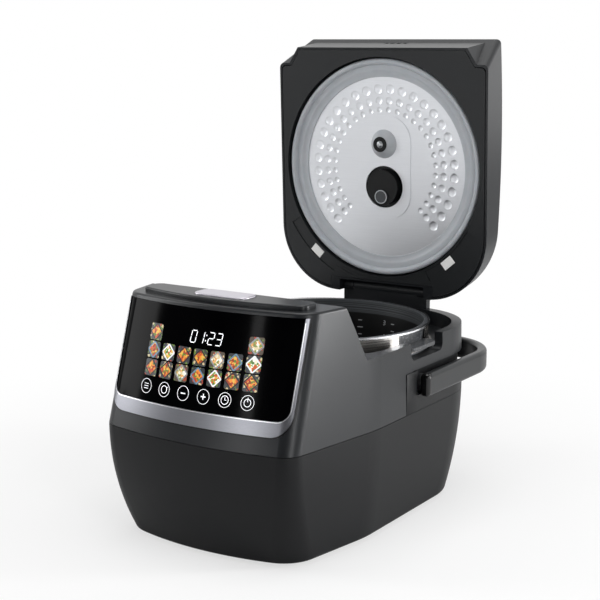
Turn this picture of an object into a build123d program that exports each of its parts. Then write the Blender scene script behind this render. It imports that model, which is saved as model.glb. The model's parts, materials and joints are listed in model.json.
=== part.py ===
"""Multicooker with a hinged lid, a lift-out bowl, a sloping touch panel and a carrying handle."""

import os
from math import cos, radians, sin

from build123d import *

os.makedirs("parts", exist_ok=True)

# Driving sizes in millimetres, with the pot axis at x = y = 0, the front at -Y and the table at z = 0

# Heights of the body
foot_height = 4.0
belly_z = 58.0
seam_z = 122.0
rim_z = 197.0
deck_z = 255.0
seam_gap = 0.6

# Bowl, its ears and the well that takes it. The radius of the rim drives the width of the whole cooker
bowl_rim_r = 120.0
bowl_rim_z = 205.0
bowl_rim_thick = 2.0
bowl_rim_width = 4.0
bowl_taper = 4.0
bowl_top_r = bowl_rim_r - bowl_rim_width
bowl_low_r = bowl_top_r - bowl_taper
bowl_corner_r = 22.0
bowl_bottom_z = 62.0
bowl_wall = 2.5
ear_half = 27.0
ear_out = 11.0
ear_reach = bowl_rim_r + ear_out
ear_corner_r = 8.0
ear_z = 186.0
ear_thick = 4.0
ear_sink = 0.6
well_gap = 3.2
well_r = bowl_top_r + well_gap
well_wall = 0.8
shelf_z = 180.0
flange_sheet = 1.2
mouth_margin = 3.6
pocket_half = well_r + mouth_margin
pocket_front = bowl_rim_r + 2 * bowl_rim_width
mouth_rear_room = 19.0
pocket_rear = bowl_rim_r + mouth_rear_room
pocket_front_r = pocket_half / 2
pocket_rear_r = pocket_half * 2 / 3
notch_half = 36.0
notch_z = 178.0
notch_corner_r = 8.0
ring_sheet = 1.0

# Plan outline at the seam, and how far the base, the belly and the deck lie inside it
side_room = 11.7
rear_room = 10.0
front_room = 112.0
seam_half = pocket_half + side_room
seam_rear = pocket_rear + rear_room
seam_front = pocket_front + front_room
seam_bow = 15.0
seam_front_r = 22.0
base_in = 10.5
base_half = seam_half - base_in
base_rear_in = 17.0
base_rear = seam_rear - base_rear_in
base_front_in = 24.6
base_front = seam_front - base_front_in
base_bow = 18.0
base_front_r = 40.0
belly_in = 3.0
belly_half = seam_half - belly_in
belly_rear = seam_rear - 2 * belly_in
belly_front = seam_front - 2 * belly_in
belly_bow = 17.0
belly_front_r = 30.0
deck_in = 3.5
deck_lean = 39.0
deck_half = seam_half - deck_in
deck_rear_out = 1.0
deck_rear = seam_rear + deck_rear_out
deck_front = seam_front - deck_lean
deck_bow = 16.0
deck_front_r = 26.0
body_rear_r = 88.0
front_taper = 18.0
taper_y = 2 * bowl_rim_width - bowl_rim_r
taper_r = 150.0

# Moulded walls and the clearances between pieces
wall = 2.6
fit_gap = 0.3
slide_gap = 0.4
pin_gap = 0.06
edge_r = 3.0

# Lower housing, base plate and feet
flange_width = 16.0
flange_thick = 5.0
bottom_edge_r = 4.0
base_plate_thick = 2.5
foot_r = 9.0
foot_pad_r = 14.0
foot_stub_r = 3.0
foot_in = 26.0
foot_back = 75.4
foot_rear_in = 40.0
foot_rear_back = 48.0
screw_in = 12.5
screw_back = 103.4
screw_rear_in = 32.0
screw_rear_back = 32.0
vent_count = 9
vent_pitch = 9.0
vent_width = 4.0
vent_length = 60.0
screw_r = 1.6
screw_head_r = 3.2
screw_head_thick = 2.0

# Handle and the bay that it lies in
handle_y = -8.0
handle_z = 150.0
handle_height = 25.0
handle_thick = 11.5
handle_side_gap = 1.0
handle_rear_gap = 14.5
handle_inner_half = seam_half + handle_side_gap
handle_inner_rear = seam_rear + handle_rear_gap
handle_inner_r = 60.0
handle_edge_r = 4.5
handle_bore_r = 5.1
arm_end = 7.0
cap_deep = 6.5
cap_edge_r = 4.0
shoulder_r = 9.5
bay_depth = 5.0
bay_front = -48.0
bay_top = 167.0
bay_corner_r = 18.0
boss_r = 9.0
boss_deep = 7.5

# Heater and bowl sensor
heater_margin = 17.0
heater_r = bowl_low_r - heater_margin
heater_thick = 12.0
heater_hole_r = 14.0
sensor_r = 12.5
sensor_head = 5.9
sensor_stem_r = 8.0
sensor_stem = 18.0
sensor_travel = 2.0
sensor_guide_r = 24.0
sensor_guide_thick = 3.0
sensor_neck = 9.0
spring_wall = 1.2
heater_lip = 4.0
fuse_r = 3.0
fuse_length = 24.0
fuse_x = 60.0

# Lid
lid_gap = 1.0
lid_overhang = 4.5
lid_half = seam_half + lid_overhang
lid_lean = 0.19
lid_front_in = 6.0
lid_front = pocket_front - lid_front_in
lid_front_lean = 0.49
lid_rear_out = 3.0
lid_rear = seam_rear + lid_rear_out
lid_rear_r = 78.0
lid_front_r = 6.0
lid_top = 272.0
crown_r = 570.0
crown_y = -45.0
crown_top = 264.0
lid_edge_r = 3.0
lid_clear = 2.5
tongue_in = 26.0
tongue_base_in = 14.0
tongue_reach = 18.5
tongue_half = lid_half - tongue_in
tongue_base_half = lid_half - tongue_base_in
tongue_front = lid_front + tongue_reach
tongue_top = 246.0
tongue_sink = 1.0
liner_thick = 2.5
recess_margin = 10.0
recess_r = bowl_rim_r + recess_margin
recess_wall = 1.8
recess_depth = 15.0
window_out = 8.5
window_r = recess_r + window_out
window_angle = 49.8
window_deep = 7.0
window_long = 13.0
pocket_deep = 1.2
pocket_wide = 13.0
pocket_start = 30.0
pocket_end = 63.0
step_deep = 0.6
step_wide = 5.0
lid_post_r = 4.0
lid_post_x = 64.0
lid_post_y = 64.0
lid_screw_bite = 8.0
lid_open_angle = 88.0

# Hinge
hinge_in = 1.0
hinge_y = seam_rear - hinge_in
hinge_z = 215.5
barrel_r = 8.5
hinge_pin_r = 2.5
notch_hinge_half = 57.5
hinge_arm = 12.0
hinge_front_gap = 1.3
knuckle_long = 13.0
knuckle_rise = 0.8
bracket_web = 9.0
bracket_web_in = 3.5
bracket_web_y = hinge_y - bracket_web_in
hinge_spring_r = 5.7
hinge_spring_long = 30.0

# Inner lid
gasket_clear = 2.0
gasket_width = 19.0
gasket_r = recess_r - gasket_clear
plate_r = gasket_r - gasket_width
plate_z = 208.6
plate_thick = 1.0
pad_width = 71.0
pad_length = 122.0
pad_r = 30.0
pad_rise = 0.8
gasket_edge = 1.2
gasket_squeeze = 0.3
gasket_lip = 2.8
gasket_thick = 6.5
grommet_y = -28.0
grommet_base_r = 17.0
grommet_tip_r = 9.5
grommet_rise = 9.0
grommet_hole_r = 12.0
stud_r = 4.5
stud_tip_z = 198.0

# Steam chamber and valve
steam_y = 23.0
steam_hole_r = 25.0
chamber_r = 21.0
chamber_wall = 2.0
chamber_tip_z = 201.5
disc_r = 8.0
disc_thick = 1.8
valve_r = 26.4
valve_well_z = 249.0
valve_stem_r = 7.4
valve_stem = 12.0
valve_rise = 13.0
seal_r = 15.0
seal_half = 1.2

# Front panel, deck cover, button and latch
trim_in = 5.5
trim_half = seam_half - front_taper - trim_in
trim_top_z = 250.5
trim_low_z = 139.0
trim_corner_r = 20.0
trim_band = 15.0
trim_side = 3.0
trim_proud = 0.8
panel_corner_r = 12.0
panel_deep = 3.5
board_thick = 1.6
display_half = 56.0
display_z = 206.0
display_height = 66.0
display_set_back = 12.0
post_r = 3.0
cover_in = 30.0
cover_half = deck_half - cover_in
cover_front_in = 9.0
cover_front = deck_front - cover_front_in
cover_deep = 26.0
cover_rear = cover_front - cover_deep
cover_bow = 16.0
cover_thick = 5.0
cover_corner_r = 10.0
cover_edge_r = 2.0
button_in = 16.0
button_y = button_in - deck_front
button_half = 33.0
button_deep = 28.0
button_corner_r = 9.0
button_proud = 1.5
button_travel = 3.0
button_stem = 6.0
stem_ahead = 5.0
latch_in = 47.0
latch_y = latch_in - deck_front
latch_z = 190.0
latch_width = 34.0
latch_thick = 4.0
latch_arm = 39.0
hook_z = 238.0
hook_bite = 3.2
hook_clear = 1.6
tooth_width = 4.6
tooth_pitch = 8.2
tooth_count = 4
latch_pin_r = 1.5
cheek_thick = 2.5
latch_spring_r = 4.0

# Electrics
power_back = 65.4
power_y = power_back - base_front
power_width = 150.0
power_deep = 84.0
standoff = 5.5
board_dx = 66.0
board_dy = 34.0
part_width = 34.0
part_height = 24.0
inlet_x = 62.0
inlet_z = 35.0
inlet_width = 30.0
inlet_height = 22.0
inlet_corner_r = 5.0
inlet_deep = 26.0
inlet_socket_deep = 19.0
inlet_wall = 2.0
inlet_flange = 4.0
inlet_flange_thick = 2.0
inlet_pad_in = 15.0
inlet_pad_y = seam_rear - inlet_pad_in
pin_length = 12.0
pin_pitch = 7.0

# Places worked out from the sizes above
lid_z = rim_z + lid_gap
recess_z = lid_z + recess_depth
heater_z = bowl_bottom_z - heater_thick
well_floor_z = heater_z - flange_sheet
bay_inset = bay_depth + fit_gap
front_reach = seam_front + seam_bow
open_lean = radians(lid_open_angle)
rear_reach = hinge_y + (crown_top - hinge_z) * sin(open_lean) + (crown_y - hinge_y) * cos(open_lean)
pot_y = (front_reach - rear_reach) / 2
cooker_place = Location((0, pot_y, 0))
lid_swing = (
    Location((0, hinge_y, hinge_z))
    * Location((0, 0, 0), (-lid_open_angle, 0, 0))
    * Location((0, -hinge_y, -hinge_z))
)
lid_place = cooker_place * lid_swing
notch_front = hinge_y - barrel_r - hinge_front_gap
arm_outer = notch_hinge_half + hinge_arm
valve_well_r = valve_r + slide_gap
valve_hole_r = valve_stem_r + slide_gap
lid_posts = [(x, y) for x in (-lid_post_x, lid_post_x) for y in (-lid_post_y, lid_post_y)]


def body_plan(half, front, bow, rear, front_r, grow):
    """Body outline from above: bowed front, sides that draw in towards it and a well rounded rear."""
    side = half + grow
    corner = side - front_taper
    nose = -(front + grow)
    back = rear + grow
    with BuildSketch() as plan:
        with BuildLine():
            Polyline(
                (corner, nose),
                (side, taper_y),
                (side, back),
                (-side, back),
                (-side, taper_y),
                (-corner, nose),
            )
            ThreePointArc((-corner, nose), (0, nose - bow), (corner, nose))
        make_face()
        fillet(plan.vertices().group_by(Axis.Y)[1], taper_r)
        fillet(plan.vertices().group_by(Axis.Y)[0], front_r + grow)
        fillet(plan.vertices().group_by(Axis.Y)[-1], body_rear_r + grow)
    return plan.sketch


def base_plan(grow):
    return body_plan(base_half, base_front, base_bow, base_rear, base_front_r, grow)


def belly_plan(grow):
    return body_plan(belly_half, belly_front, belly_bow, belly_rear, belly_front_r, grow)


def seam_plan(grow):
    return body_plan(seam_half, seam_front, seam_bow, seam_rear, seam_front_r, grow)


def deck_plan(grow):
    return body_plan(deck_half, deck_front, deck_bow, deck_rear, deck_front_r, grow)


def lofted(levels, ruled):
    """Solid through outlines, each given with its height."""
    with BuildPart() as form:
        for height, outline in levels:
            with BuildSketch(Plane.XY.offset(height)):
                add(outline)
        loft(ruled=ruled)
    return form.part


def lower_form(grow):
    """Lower housing as a solid, curving in towards the table."""
    levels = [
        (foot_height, base_plan(grow)),
        (belly_z, belly_plan(grow)),
        (seam_z - seam_gap, seam_plan(grow)),
    ]
    return lofted(levels, ruled=False)


def upper_form(grow):
    """Upper housing as a solid, with the front leaning back to the deck."""
    return lofted([(seam_z, seam_plan(grow)), (deck_z, deck_plan(grow))], ruled=True)


def lid_plan(height, grow):
    """Lid outline at a height: straight front with crisp corners, rounded rear."""
    side = lid_half - (height - lid_z) * lid_lean + grow
    nose = -(lid_front + (height - lid_z) * lid_front_lean + grow)
    back = lid_rear + grow
    with BuildSketch() as plan:
        with BuildLine():
            Polyline((side, nose), (side, back), (-side, back), (-side, nose), close=True)
        make_face()
        fillet(plan.vertices().group_by(Axis.Y)[0], lid_front_r + max(grow, 0))
        fillet(plan.vertices().group_by(Axis.Y)[-1], lid_rear_r + grow)
    return plan.sketch


def tongue_nose(height):
    """How far forward the middle of the lid front reaches at a height."""
    low_nose = tongue_front
    top_nose = lid_front + (tongue_top - lid_z) * lid_front_lean - tongue_sink
    share = (height - lid_z) / (tongue_top - lid_z)
    return low_nose + (top_nose - low_nose) * share


def tongue_plan(height, grow):
    """Middle of the lid front, which reaches further forward low down."""
    nose = -(tongue_nose(height) + grow)
    root = -(lid_front - 2 * lid_front_r)
    shoulder = -(lid_front + grow)
    wide = tongue_base_half + grow
    narrow = tongue_half + grow
    with BuildSketch() as plan:
        with BuildLine():
            Polyline(
                (wide, root),
                (wide, shoulder),
                (narrow, nose),
                (-narrow, nose),
                (-wide, shoulder),
                (-wide, root),
                close=True,
            )
        make_face()
    return plan.sketch


def lid_block(grow, bottom):
    return lofted([(z, lid_plan(z, grow)) for z in (bottom, lid_top)], ruled=True)


def tongue_block(grow, bottom):
    return lofted([(z, tongue_plan(z, grow)) for z in (bottom, tongue_top)], ruled=True)


def lid_sweep(grow, bottom):
    """Space above the rim behind the deck, out past both sides of the lid."""
    levels = []
    for height in (bottom, lid_top):
        nose = -(lid_front + (height - lid_z) * lid_front_lean + grow)
        with BuildSketch() as plan:
            with Locations((0, nose + seam_front)):
                Rectangle(4 * seam_half, 2 * seam_front)
        levels.append((height, plan.sketch))
    return lofted(levels, ruled=True)


def lid_form(grow, bottom):
    """Lid as a solid from a given height up, before the crown is cut."""
    with BuildPart() as form:
        add(lid_block(grow, bottom))
        add(tongue_block(grow, bottom))
    return form.part


def crown_form(drop):
    """Long cylinder across the lid whose top is the lid's gentle crown."""
    with BuildPart() as form:
        with BuildSketch(Plane.YZ):
            with Locations((crown_y, crown_top - crown_r)):
                Circle(crown_r - drop)
        extrude(amount=lid_half * 2, both=True)
    return form.part


def bay_band(grow):
    """Space that the handle lies in, outside the raised wall of the lower housing."""
    front = bay_front - grow
    top = bay_top + grow
    low = seam_z - seam_gap
    far = handle_inner_rear + handle_thick
    with BuildPart() as band:
        with BuildSketch(Plane.YZ) as side:
            with BuildLine():
                Polyline((front, low), (front, top), (far, top), (far, low), close=True)
            make_face()
            fillet(side.vertices().sort_by(Axis.X)[:2].sort_by(Axis.Y)[-1], bay_corner_r + grow)
        extrude(amount=seam_half * 2, both=True)
        with BuildSketch(Plane.XY.offset(low)):
            add(seam_plan(-bay_depth))
        extrude(amount=top - low, mode=Mode.SUBTRACT)
    return band.part


def pocket_form(grow, bottom):
    """Well mouth around the bowl, open at the top."""
    with BuildPart() as form:
        with BuildSketch(Plane.XY.offset(bottom)) as plan:
            with BuildLine():
                Polyline(
                    (pocket_half + grow, -pocket_front - grow),
                    (pocket_half + grow, pocket_rear + grow),
                    (-pocket_half - grow, pocket_rear + grow),
                    (-pocket_half - grow, -pocket_front - grow),
                    close=True,
                )
            make_face()
            fillet(plan.vertices().group_by(Axis.Y)[0], pocket_front_r + grow)
            fillet(plan.vertices().group_by(Axis.Y)[-1], pocket_rear_r + grow)
        extrude(amount=deck_z - bottom)
    return form.part


def front_window(half, low, top, corner_r):
    """Panel-shaped block through the front, with round lower corners."""
    with BuildPart() as form:
        with BuildSketch(Plane.XZ) as face:
            with BuildLine():
                Polyline((half, top), (half, low), (-half, low), (-half, top), close=True)
            make_face()
            fillet(face.vertices().group_by(Axis.Y)[0], corner_r)
        extrude(amount=front_reach * 2)
    return form.part


def save(piece, name, place):
    """Labels a finished piece, puts it in its place and writes its file."""
    piece.part.label = name
    export_step(piece.part.moved(place), f"parts/{name}.step")


def bay_ledge():
    """Floor of the handle bay, from the outer wall in to the raised wall."""
    with BuildPart() as ledge:
        with BuildSketch(Plane.XY.offset(seam_z - seam_gap - wall)):
            add(seam_plan(wall))
            add(seam_plan(-bay_inset - wall), mode=Mode.SUBTRACT)
            with Locations((0, bay_front - seam_front)):
                Rectangle(seam_half * 4, seam_front * 2, mode=Mode.SUBTRACT)
        extrude(amount=seam_gap + wall)
    return ledge.part


def tub_hollow():
    """Inside of the lower housing above its bottom flange."""
    with BuildPart() as hollow:
        add(lower_form(-wall))
        with BuildSketch(Plane.XY.offset(foot_height)):
            add(seam_plan(wall))
        extrude(amount=flange_thick, mode=Mode.SUBTRACT)
        add(bay_ledge(), mode=Mode.SUBTRACT)
    return hollow.part


def upper_hollow():
    """Inside of the upper housing: under the rim, under the deck and behind the bay."""
    with BuildPart() as hollow:
        add(upper_form(-wall))
        with BuildSketch(Plane.XY.offset(deck_z - wall)):
            Rectangle(front_reach * 3, front_reach * 3)
        extrude(amount=wall, mode=Mode.SUBTRACT)
        add(lid_sweep(lid_clear + wall, rim_z - wall), mode=Mode.SUBTRACT)
        add(tongue_block(lid_clear + wall, rim_z - wall), mode=Mode.SUBTRACT)
        add(pocket_form(wall, shelf_z - wall), mode=Mode.SUBTRACT)
        add(bay_band(wall), mode=Mode.SUBTRACT)
        add(front_pocket(wall), mode=Mode.SUBTRACT)
        add(side_notches(wall), mode=Mode.SUBTRACT)
    return hollow.part


def front_pocket(grow):
    """Shallow seat for the panel and its trim, following the curve of the front."""
    with BuildPart() as seat:
        add(front_window(trim_half + grow, trim_low_z - grow, trim_top_z + grow, trim_corner_r + grow))
        add(upper_form(-panel_deep - grow), mode=Mode.SUBTRACT)
    return seat.part


def side_notches(grow):
    """Dips in the two side rims, where fingers reach the ears of the bowl."""
    with BuildPart() as dips:
        with BuildSketch(Plane.YZ) as side:
            with BuildLine():
                Polyline(
                    (-notch_half - grow, rim_z),
                    (-notch_half - grow, notch_z - grow),
                    (notch_half + grow, notch_z - grow),
                    (notch_half + grow, rim_z),
                    close=True,
                )
            make_face()
            fillet(side.vertices().group_by(Axis.Y)[0], notch_corner_r + grow)
        extrude(amount=seam_half * 2, both=True)
        with BuildSketch(Plane.XY.offset(notch_z - grow)):
            Rectangle(2 * (pocket_half - notch_corner_r), front_reach)
        extrude(amount=rim_z - notch_z + grow, mode=Mode.SUBTRACT)
    return dips.part


def lid_hollow():
    """Inside of the lid shell, with solid arms and walls left around the hinge and the valve."""
    with BuildPart() as hollow:
        add(lid_form(-wall, lid_z))
        add(crown_form(wall), mode=Mode.INTERSECT)
        with BuildSketch(Plane.XY.offset(rim_z)):
            with Locations((0, hinge_y)):
                Rectangle(2 * arm_outer, 2 * (hinge_y - notch_front + wall))
        extrude(amount=deck_z - rim_z, mode=Mode.SUBTRACT)
        with BuildSketch(Plane.XY.offset(valve_well_z - wall)):
            with Locations((0, steam_y)):
                Circle(valve_well_r + wall)
        extrude(amount=lid_top - valve_well_z, mode=Mode.SUBTRACT)
        with BuildSketch(Plane.XY.offset(recess_z + liner_thick)):
            with Locations(*lid_posts):
                Circle(lid_post_r)
        extrude(amount=lid_top - recess_z, mode=Mode.SUBTRACT)
    return hollow.part


def wedge(start, end, far):
    """Flat wedge from the pot axis between two angles."""
    angles = [radians(angle) for angle in (start, (start + end) / 2, end)]
    with BuildSketch() as slice_plan:
        with BuildLine():
            Polyline((0, 0), *[(far * cos(angle), far * sin(angle)) for angle in angles], close=True)
        make_face()
    return slice_plan.sketch


def ring_sector(wide, start, end):
    """Part of a flat ring round the recess of the lid, between two angles from the side."""
    inner = recess_r + recess_wall
    with BuildSketch() as sector:
        Circle(inner + wide)
        Circle(inner, mode=Mode.SUBTRACT)
        add(wedge(start, end, 2 * (inner + wide)), mode=Mode.INTERSECT)
    return sector.sketch


def cheek_profile():
    """Rib that carries the latch pin, from the rear wall of the deck to the spring seat."""
    with BuildSketch() as profile:
        with BuildLine():
            Polyline(
                (-tongue_nose(rim_z) - lid_clear - wall / 2, rim_z),
                (-tongue_nose(spring_seat_z) - lid_clear - wall / 2, spring_seat_z),
                (button_y, spring_seat_z),
                (button_y, spring_seat_z - cheek_thick),
                (latch_y - 2 * latch_thick, latch_z - 2 * latch_thick),
                (latch_y + latch_thick, latch_z - 2 * latch_thick),
                close=True,
            )
        make_face()
    return profile.sketch


# Lower housing: a curved tub with an inward flange below and a raised wall inside the handle bay
foot_front = (base_half - foot_in, foot_back - base_front)
foot_rear = (base_half - foot_rear_in, base_rear - foot_rear_back)
screw_front = (base_half - screw_in, screw_back - base_front)
screw_rear = (base_half - screw_rear_in, base_rear - screw_rear_back)
foot_spots = [(side * x, y) for x, y in (foot_front, foot_rear) for side in (-1, 1)]
screw_spots = [(side * x, y) for x, y in (screw_front, screw_rear) for side in (-1, 1)]
raised_low = seam_z - seam_gap - wall
raised_top = bay_top + wall * 2
inlet_block_y = inlet_pad_y - flange_thick
base_top_z = foot_height + flange_thick
with BuildPart() as lower_housing:
    add(lower_form(0))
    fillet(lower_housing.faces().sort_by(Axis.Z)[0].edges(), bottom_edge_r)
    add(tub_hollow(), mode=Mode.SUBTRACT)
    with BuildSketch(Plane.XY.offset(foot_height)):
        add(base_plan(-flange_width))
    extrude(amount=flange_thick, mode=Mode.SUBTRACT)
    with BuildSketch(Plane.XY.offset(foot_height)):
        with Locations(foot_spots):
            Circle(foot_pad_r)
    extrude(amount=flange_thick)
    with BuildSketch(Plane.XY.offset(raised_low)):
        add(seam_plan(-bay_inset))
        add(seam_plan(-bay_inset - wall), mode=Mode.SUBTRACT)
        with Locations((0, bay_front + fit_gap - seam_front)):
            Rectangle(seam_half * 4, seam_front * 2, mode=Mode.SUBTRACT)
    extrude(amount=raised_top - raised_low)
    for side in (-1, 1):
        with BuildSketch(Plane.YZ.offset(side * (seam_half - bay_inset - wall / 2))):
            with Locations((handle_y, handle_z)):
                Circle(boss_r)
        extrude(amount=-side * boss_deep)
        with BuildSketch(Plane.YZ.offset(side * seam_half)):
            with Locations((handle_y, handle_z)):
                Circle(handle_bore_r)
        extrude(amount=-side * (bay_inset + boss_deep), mode=Mode.SUBTRACT)
    with BuildSketch(Plane.XZ.offset(-inlet_block_y)):
        with Locations((inlet_x, inlet_z)):
            RectangleRounded(inlet_width + 4 * inlet_flange, inlet_height + 4 * inlet_flange, inlet_corner_r)
    extrude(amount=inlet_block_y - inlet_pad_y)
    with BuildSketch(Plane.XZ.offset(-inlet_pad_y)):
        with Locations((inlet_x, inlet_z)):
            RectangleRounded(inlet_width + 3 * inlet_flange, inlet_height + 3 * inlet_flange, inlet_corner_r)
    extrude(amount=-inlet_deep, mode=Mode.SUBTRACT)
    with BuildSketch(Plane.XZ.offset(-inlet_pad_y)):
        with Locations((inlet_x, inlet_z)):
            RectangleRounded(inlet_width + fit_gap, inlet_height + fit_gap, inlet_corner_r)
    extrude(amount=inlet_deep, mode=Mode.SUBTRACT)
    with BuildSketch(Plane.XY.offset(foot_height)):
        with Locations(*foot_spots):
            Circle(foot_stub_r + pin_gap)
        with Locations(*screw_spots):
            Circle(screw_r + pin_gap)
    extrude(amount=flange_thick, mode=Mode.SUBTRACT)
    with BuildSketch(Plane.XY.offset(foot_height)):
        with Locations(*screw_spots):
            Circle(screw_head_r + fit_gap)
    extrude(amount=screw_head_thick, mode=Mode.SUBTRACT)
save(lower_housing, "lower_housing", cooker_place)

# Upper housing: rim, well mouth and raised front deck in one moulding
slot_width = tooth_width + 4 * fit_gap
slot_height = latch_thick + 2 * hook_clear
teeth_x = [(i - (tooth_count - 1) / 2) * tooth_pitch for i in range(tooth_count)]
cheek_x = latch_width / 2 + slide_gap
hook_face = tongue_nose(hook_z)
spring_seat_z = latch_z + 8 * latch_thick
with BuildPart() as upper_housing:
    add(upper_form(0))
    fillet(upper_housing.faces().sort_by(Axis.Z)[-1].edges(), edge_r)
    add(upper_hollow(), mode=Mode.SUBTRACT)
    add(lid_sweep(lid_clear, rim_z), mode=Mode.SUBTRACT)
    add(tongue_block(lid_clear, rim_z), mode=Mode.SUBTRACT)
    add(pocket_form(0, shelf_z), mode=Mode.SUBTRACT)
    add(bay_band(0), mode=Mode.SUBTRACT)
    add(front_pocket(0), mode=Mode.SUBTRACT)
    add(side_notches(0), mode=Mode.SUBTRACT)
    with BuildSketch(Plane.XY.offset(shelf_z)):
        Circle(well_r + fit_gap)
    extrude(amount=-(shelf_z - notch_z + 2 * wall), mode=Mode.SUBTRACT)
    for side in (-1, 1):
        with BuildSketch(Plane.YZ.offset(side * cheek_x)):
            add(cheek_profile())
        extrude(amount=side * cheek_thick)
    with BuildSketch(Plane.XY.offset(spring_seat_z)):
        with Locations((0, button_y + button_deep / 4)):
            Rectangle(2 * cheek_x, button_deep / 2)
    extrude(amount=-cheek_thick)
    with BuildSketch(Plane.YZ):
        with Locations((latch_y, latch_z)):
            Circle(latch_pin_r + pin_gap)
    extrude(amount=cheek_x + cheek_thick, both=True, mode=Mode.SUBTRACT)
    with BuildSketch(Plane.XZ.offset(hook_face)):
        with Locations((0, hook_z)):
            Rectangle(latch_width + 2 * slide_gap, slot_height + 2 * button_travel)
    extrude(amount=4 * wall, mode=Mode.SUBTRACT)
    with BuildSketch(Plane.XY.offset(deck_z)):
        with Locations((0, button_y - stem_ahead)):
            Rectangle(latch_width + 2 * slide_gap, button_stem + 2 * slide_gap)
    extrude(amount=-wall, mode=Mode.SUBTRACT)
save(upper_housing, "upper_housing", cooker_place)

# Lid shell, modelled shut: crowned top, leaning sides and a notch at the rear for the hinge barrel
with BuildPart() as lid_shell:
    add(lid_block(0, lid_z))
    add(crown_form(0), mode=Mode.INTERSECT)
    fillet(lid_shell.faces().sort_by(Axis.Z)[-1].edges(), lid_edge_r)
    add(tongue_block(0, lid_z))
    add(lid_hollow(), mode=Mode.SUBTRACT)
    with BuildSketch(Plane.XY.offset(rim_z)):
        with Locations((0, hinge_y)):
            Rectangle(2 * notch_hinge_half, 2 * (hinge_y - notch_front))
    extrude(amount=deck_z - rim_z, mode=Mode.SUBTRACT)
    with Locations((0, steam_y, valve_well_z)):
        Cylinder(valve_well_r, deck_z, align=(Align.CENTER, Align.CENTER, Align.MIN), mode=Mode.SUBTRACT)
        Cylinder(valve_hole_r, valve_stem_r * 2, mode=Mode.SUBTRACT)
    with BuildSketch(Plane.YZ):
        with Locations((hinge_y, hinge_z)):
            Circle(hinge_pin_r + pin_gap)
    extrude(amount=arm_outer - wall, both=True, mode=Mode.SUBTRACT)
    with BuildSketch(Plane.XY.offset(recess_z + liner_thick)):
        with Locations(*lid_posts):
            Circle(screw_r + pin_gap)
    extrude(amount=lid_screw_bite + wall, mode=Mode.SUBTRACT)
    with BuildSketch(Plane.XZ.offset(tongue_front - lid_front_r)):
        with Locations(*[(x, hook_z) for x in teeth_x]):
            Rectangle(slot_width, slot_height)
    extrude(amount=lid_front_r * 3, mode=Mode.SUBTRACT)
save(lid_shell, "lid_shell", lid_place)

# Lid liner: flat frame round a deep round recess, closed by a floor under the shell
with BuildPart() as lid_liner:
    with BuildSketch(Plane.XY.offset(lid_z)):
        add(lid_plan(lid_z, -wall - 3 * fit_gap))
        add(tongue_plan(lid_z, -wall - fit_gap))
        with Locations((0, hinge_y)):
            Rectangle(
                2 * (arm_outer + fit_gap),
                2 * (hinge_y - notch_front + wall + fit_gap),
                mode=Mode.SUBTRACT,
            )
        Circle(recess_r, mode=Mode.SUBTRACT)
    extrude(amount=liner_thick)
    with BuildSketch(Plane.XY.offset(lid_z)):
        Circle(recess_r + recess_wall)
        Circle(recess_r, mode=Mode.SUBTRACT)
    extrude(amount=recess_depth)
    with BuildSketch(Plane.XY.offset(recess_z)):
        Circle(recess_r + recess_wall)
        with Locations((0, steam_y)):
            Circle(chamber_r + fit_gap, mode=Mode.SUBTRACT)
        with Locations(*lid_posts):
            Circle(screw_r + pin_gap, mode=Mode.SUBTRACT)
    extrude(amount=liner_thick)
    with BuildSketch(Plane.XY.offset(lid_z)):
        add(ring_sector(pocket_wide, pocket_start, pocket_end))
        add(ring_sector(pocket_wide, 180 - pocket_end, 180 - pocket_start))
    extrude(amount=pocket_deep, mode=Mode.SUBTRACT)
    with BuildSketch(Plane.XY.offset(lid_z)):
        add(ring_sector(step_wide, pocket_end, 180 - pocket_end))
    extrude(amount=step_deep, mode=Mode.SUBTRACT)
    with BuildSketch(Plane.XY.offset(lid_z)):
        with PolarLocations(window_r, 2, window_angle, 180 - 2 * window_angle, endpoint=True):
            Rectangle(window_deep, window_long)
    extrude(amount=liner_thick, mode=Mode.SUBTRACT)
save(lid_liner, "lid_liner", lid_place)

# Screws through the floor of the recess into the posts of the shell
with BuildPart() as lid_screws:
    with Locations(*[(x, y, recess_z) for x, y in lid_posts]):
        Cylinder(screw_head_r, screw_head_thick, align=(Align.CENTER, Align.CENTER, Align.MAX))
        Cylinder(screw_r, liner_thick + lid_screw_bite, align=(Align.CENTER, Align.CENTER, Align.MIN))
save(lid_screws, "lid_screws", lid_place)

# Stud that holds the inner lid
with BuildPart() as lid_stud:
    with BuildSketch(Plane.XZ):
        with BuildLine():
            Polyline(
                (0, stud_tip_z),
                (stud_r - 2 * fit_gap, stud_tip_z),
                (stud_r, stud_tip_z + 2 * stud_r),
                (stud_r, recess_z),
                (0, recess_z),
                close=True,
            )
        make_face()
    revolve(axis=Axis.Z)
save(lid_stud, "lid_stud", lid_place * Location((0, grommet_y, 0)))

# Steam chamber through the liner, with a closed tip and an outlet towards the valve
shell_floor_z = valve_well_z - wall
with BuildPart() as steam_chamber:
    with BuildSketch(Plane.XZ):
        with BuildLine():
            Polyline(
                (0, chamber_tip_z),
                (chamber_r, chamber_tip_z),
                (chamber_r, recess_z + liner_thick),
                (chamber_r + 2 * chamber_wall, recess_z + liner_thick),
                (chamber_r + 2 * chamber_wall, recess_z + liner_thick + chamber_wall),
                (chamber_r, recess_z + liner_thick + chamber_wall),
                (chamber_r, shell_floor_z - fit_gap),
                (chamber_r - chamber_wall, shell_floor_z - fit_gap),
                (chamber_r - chamber_wall, chamber_tip_z + chamber_wall),
                (0, chamber_tip_z + chamber_wall),
                close=True,
            )
        make_face()
    revolve(axis=Axis.Z)
save(steam_chamber, "steam_chamber", lid_place * Location((0, steam_y, 0)))

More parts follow.
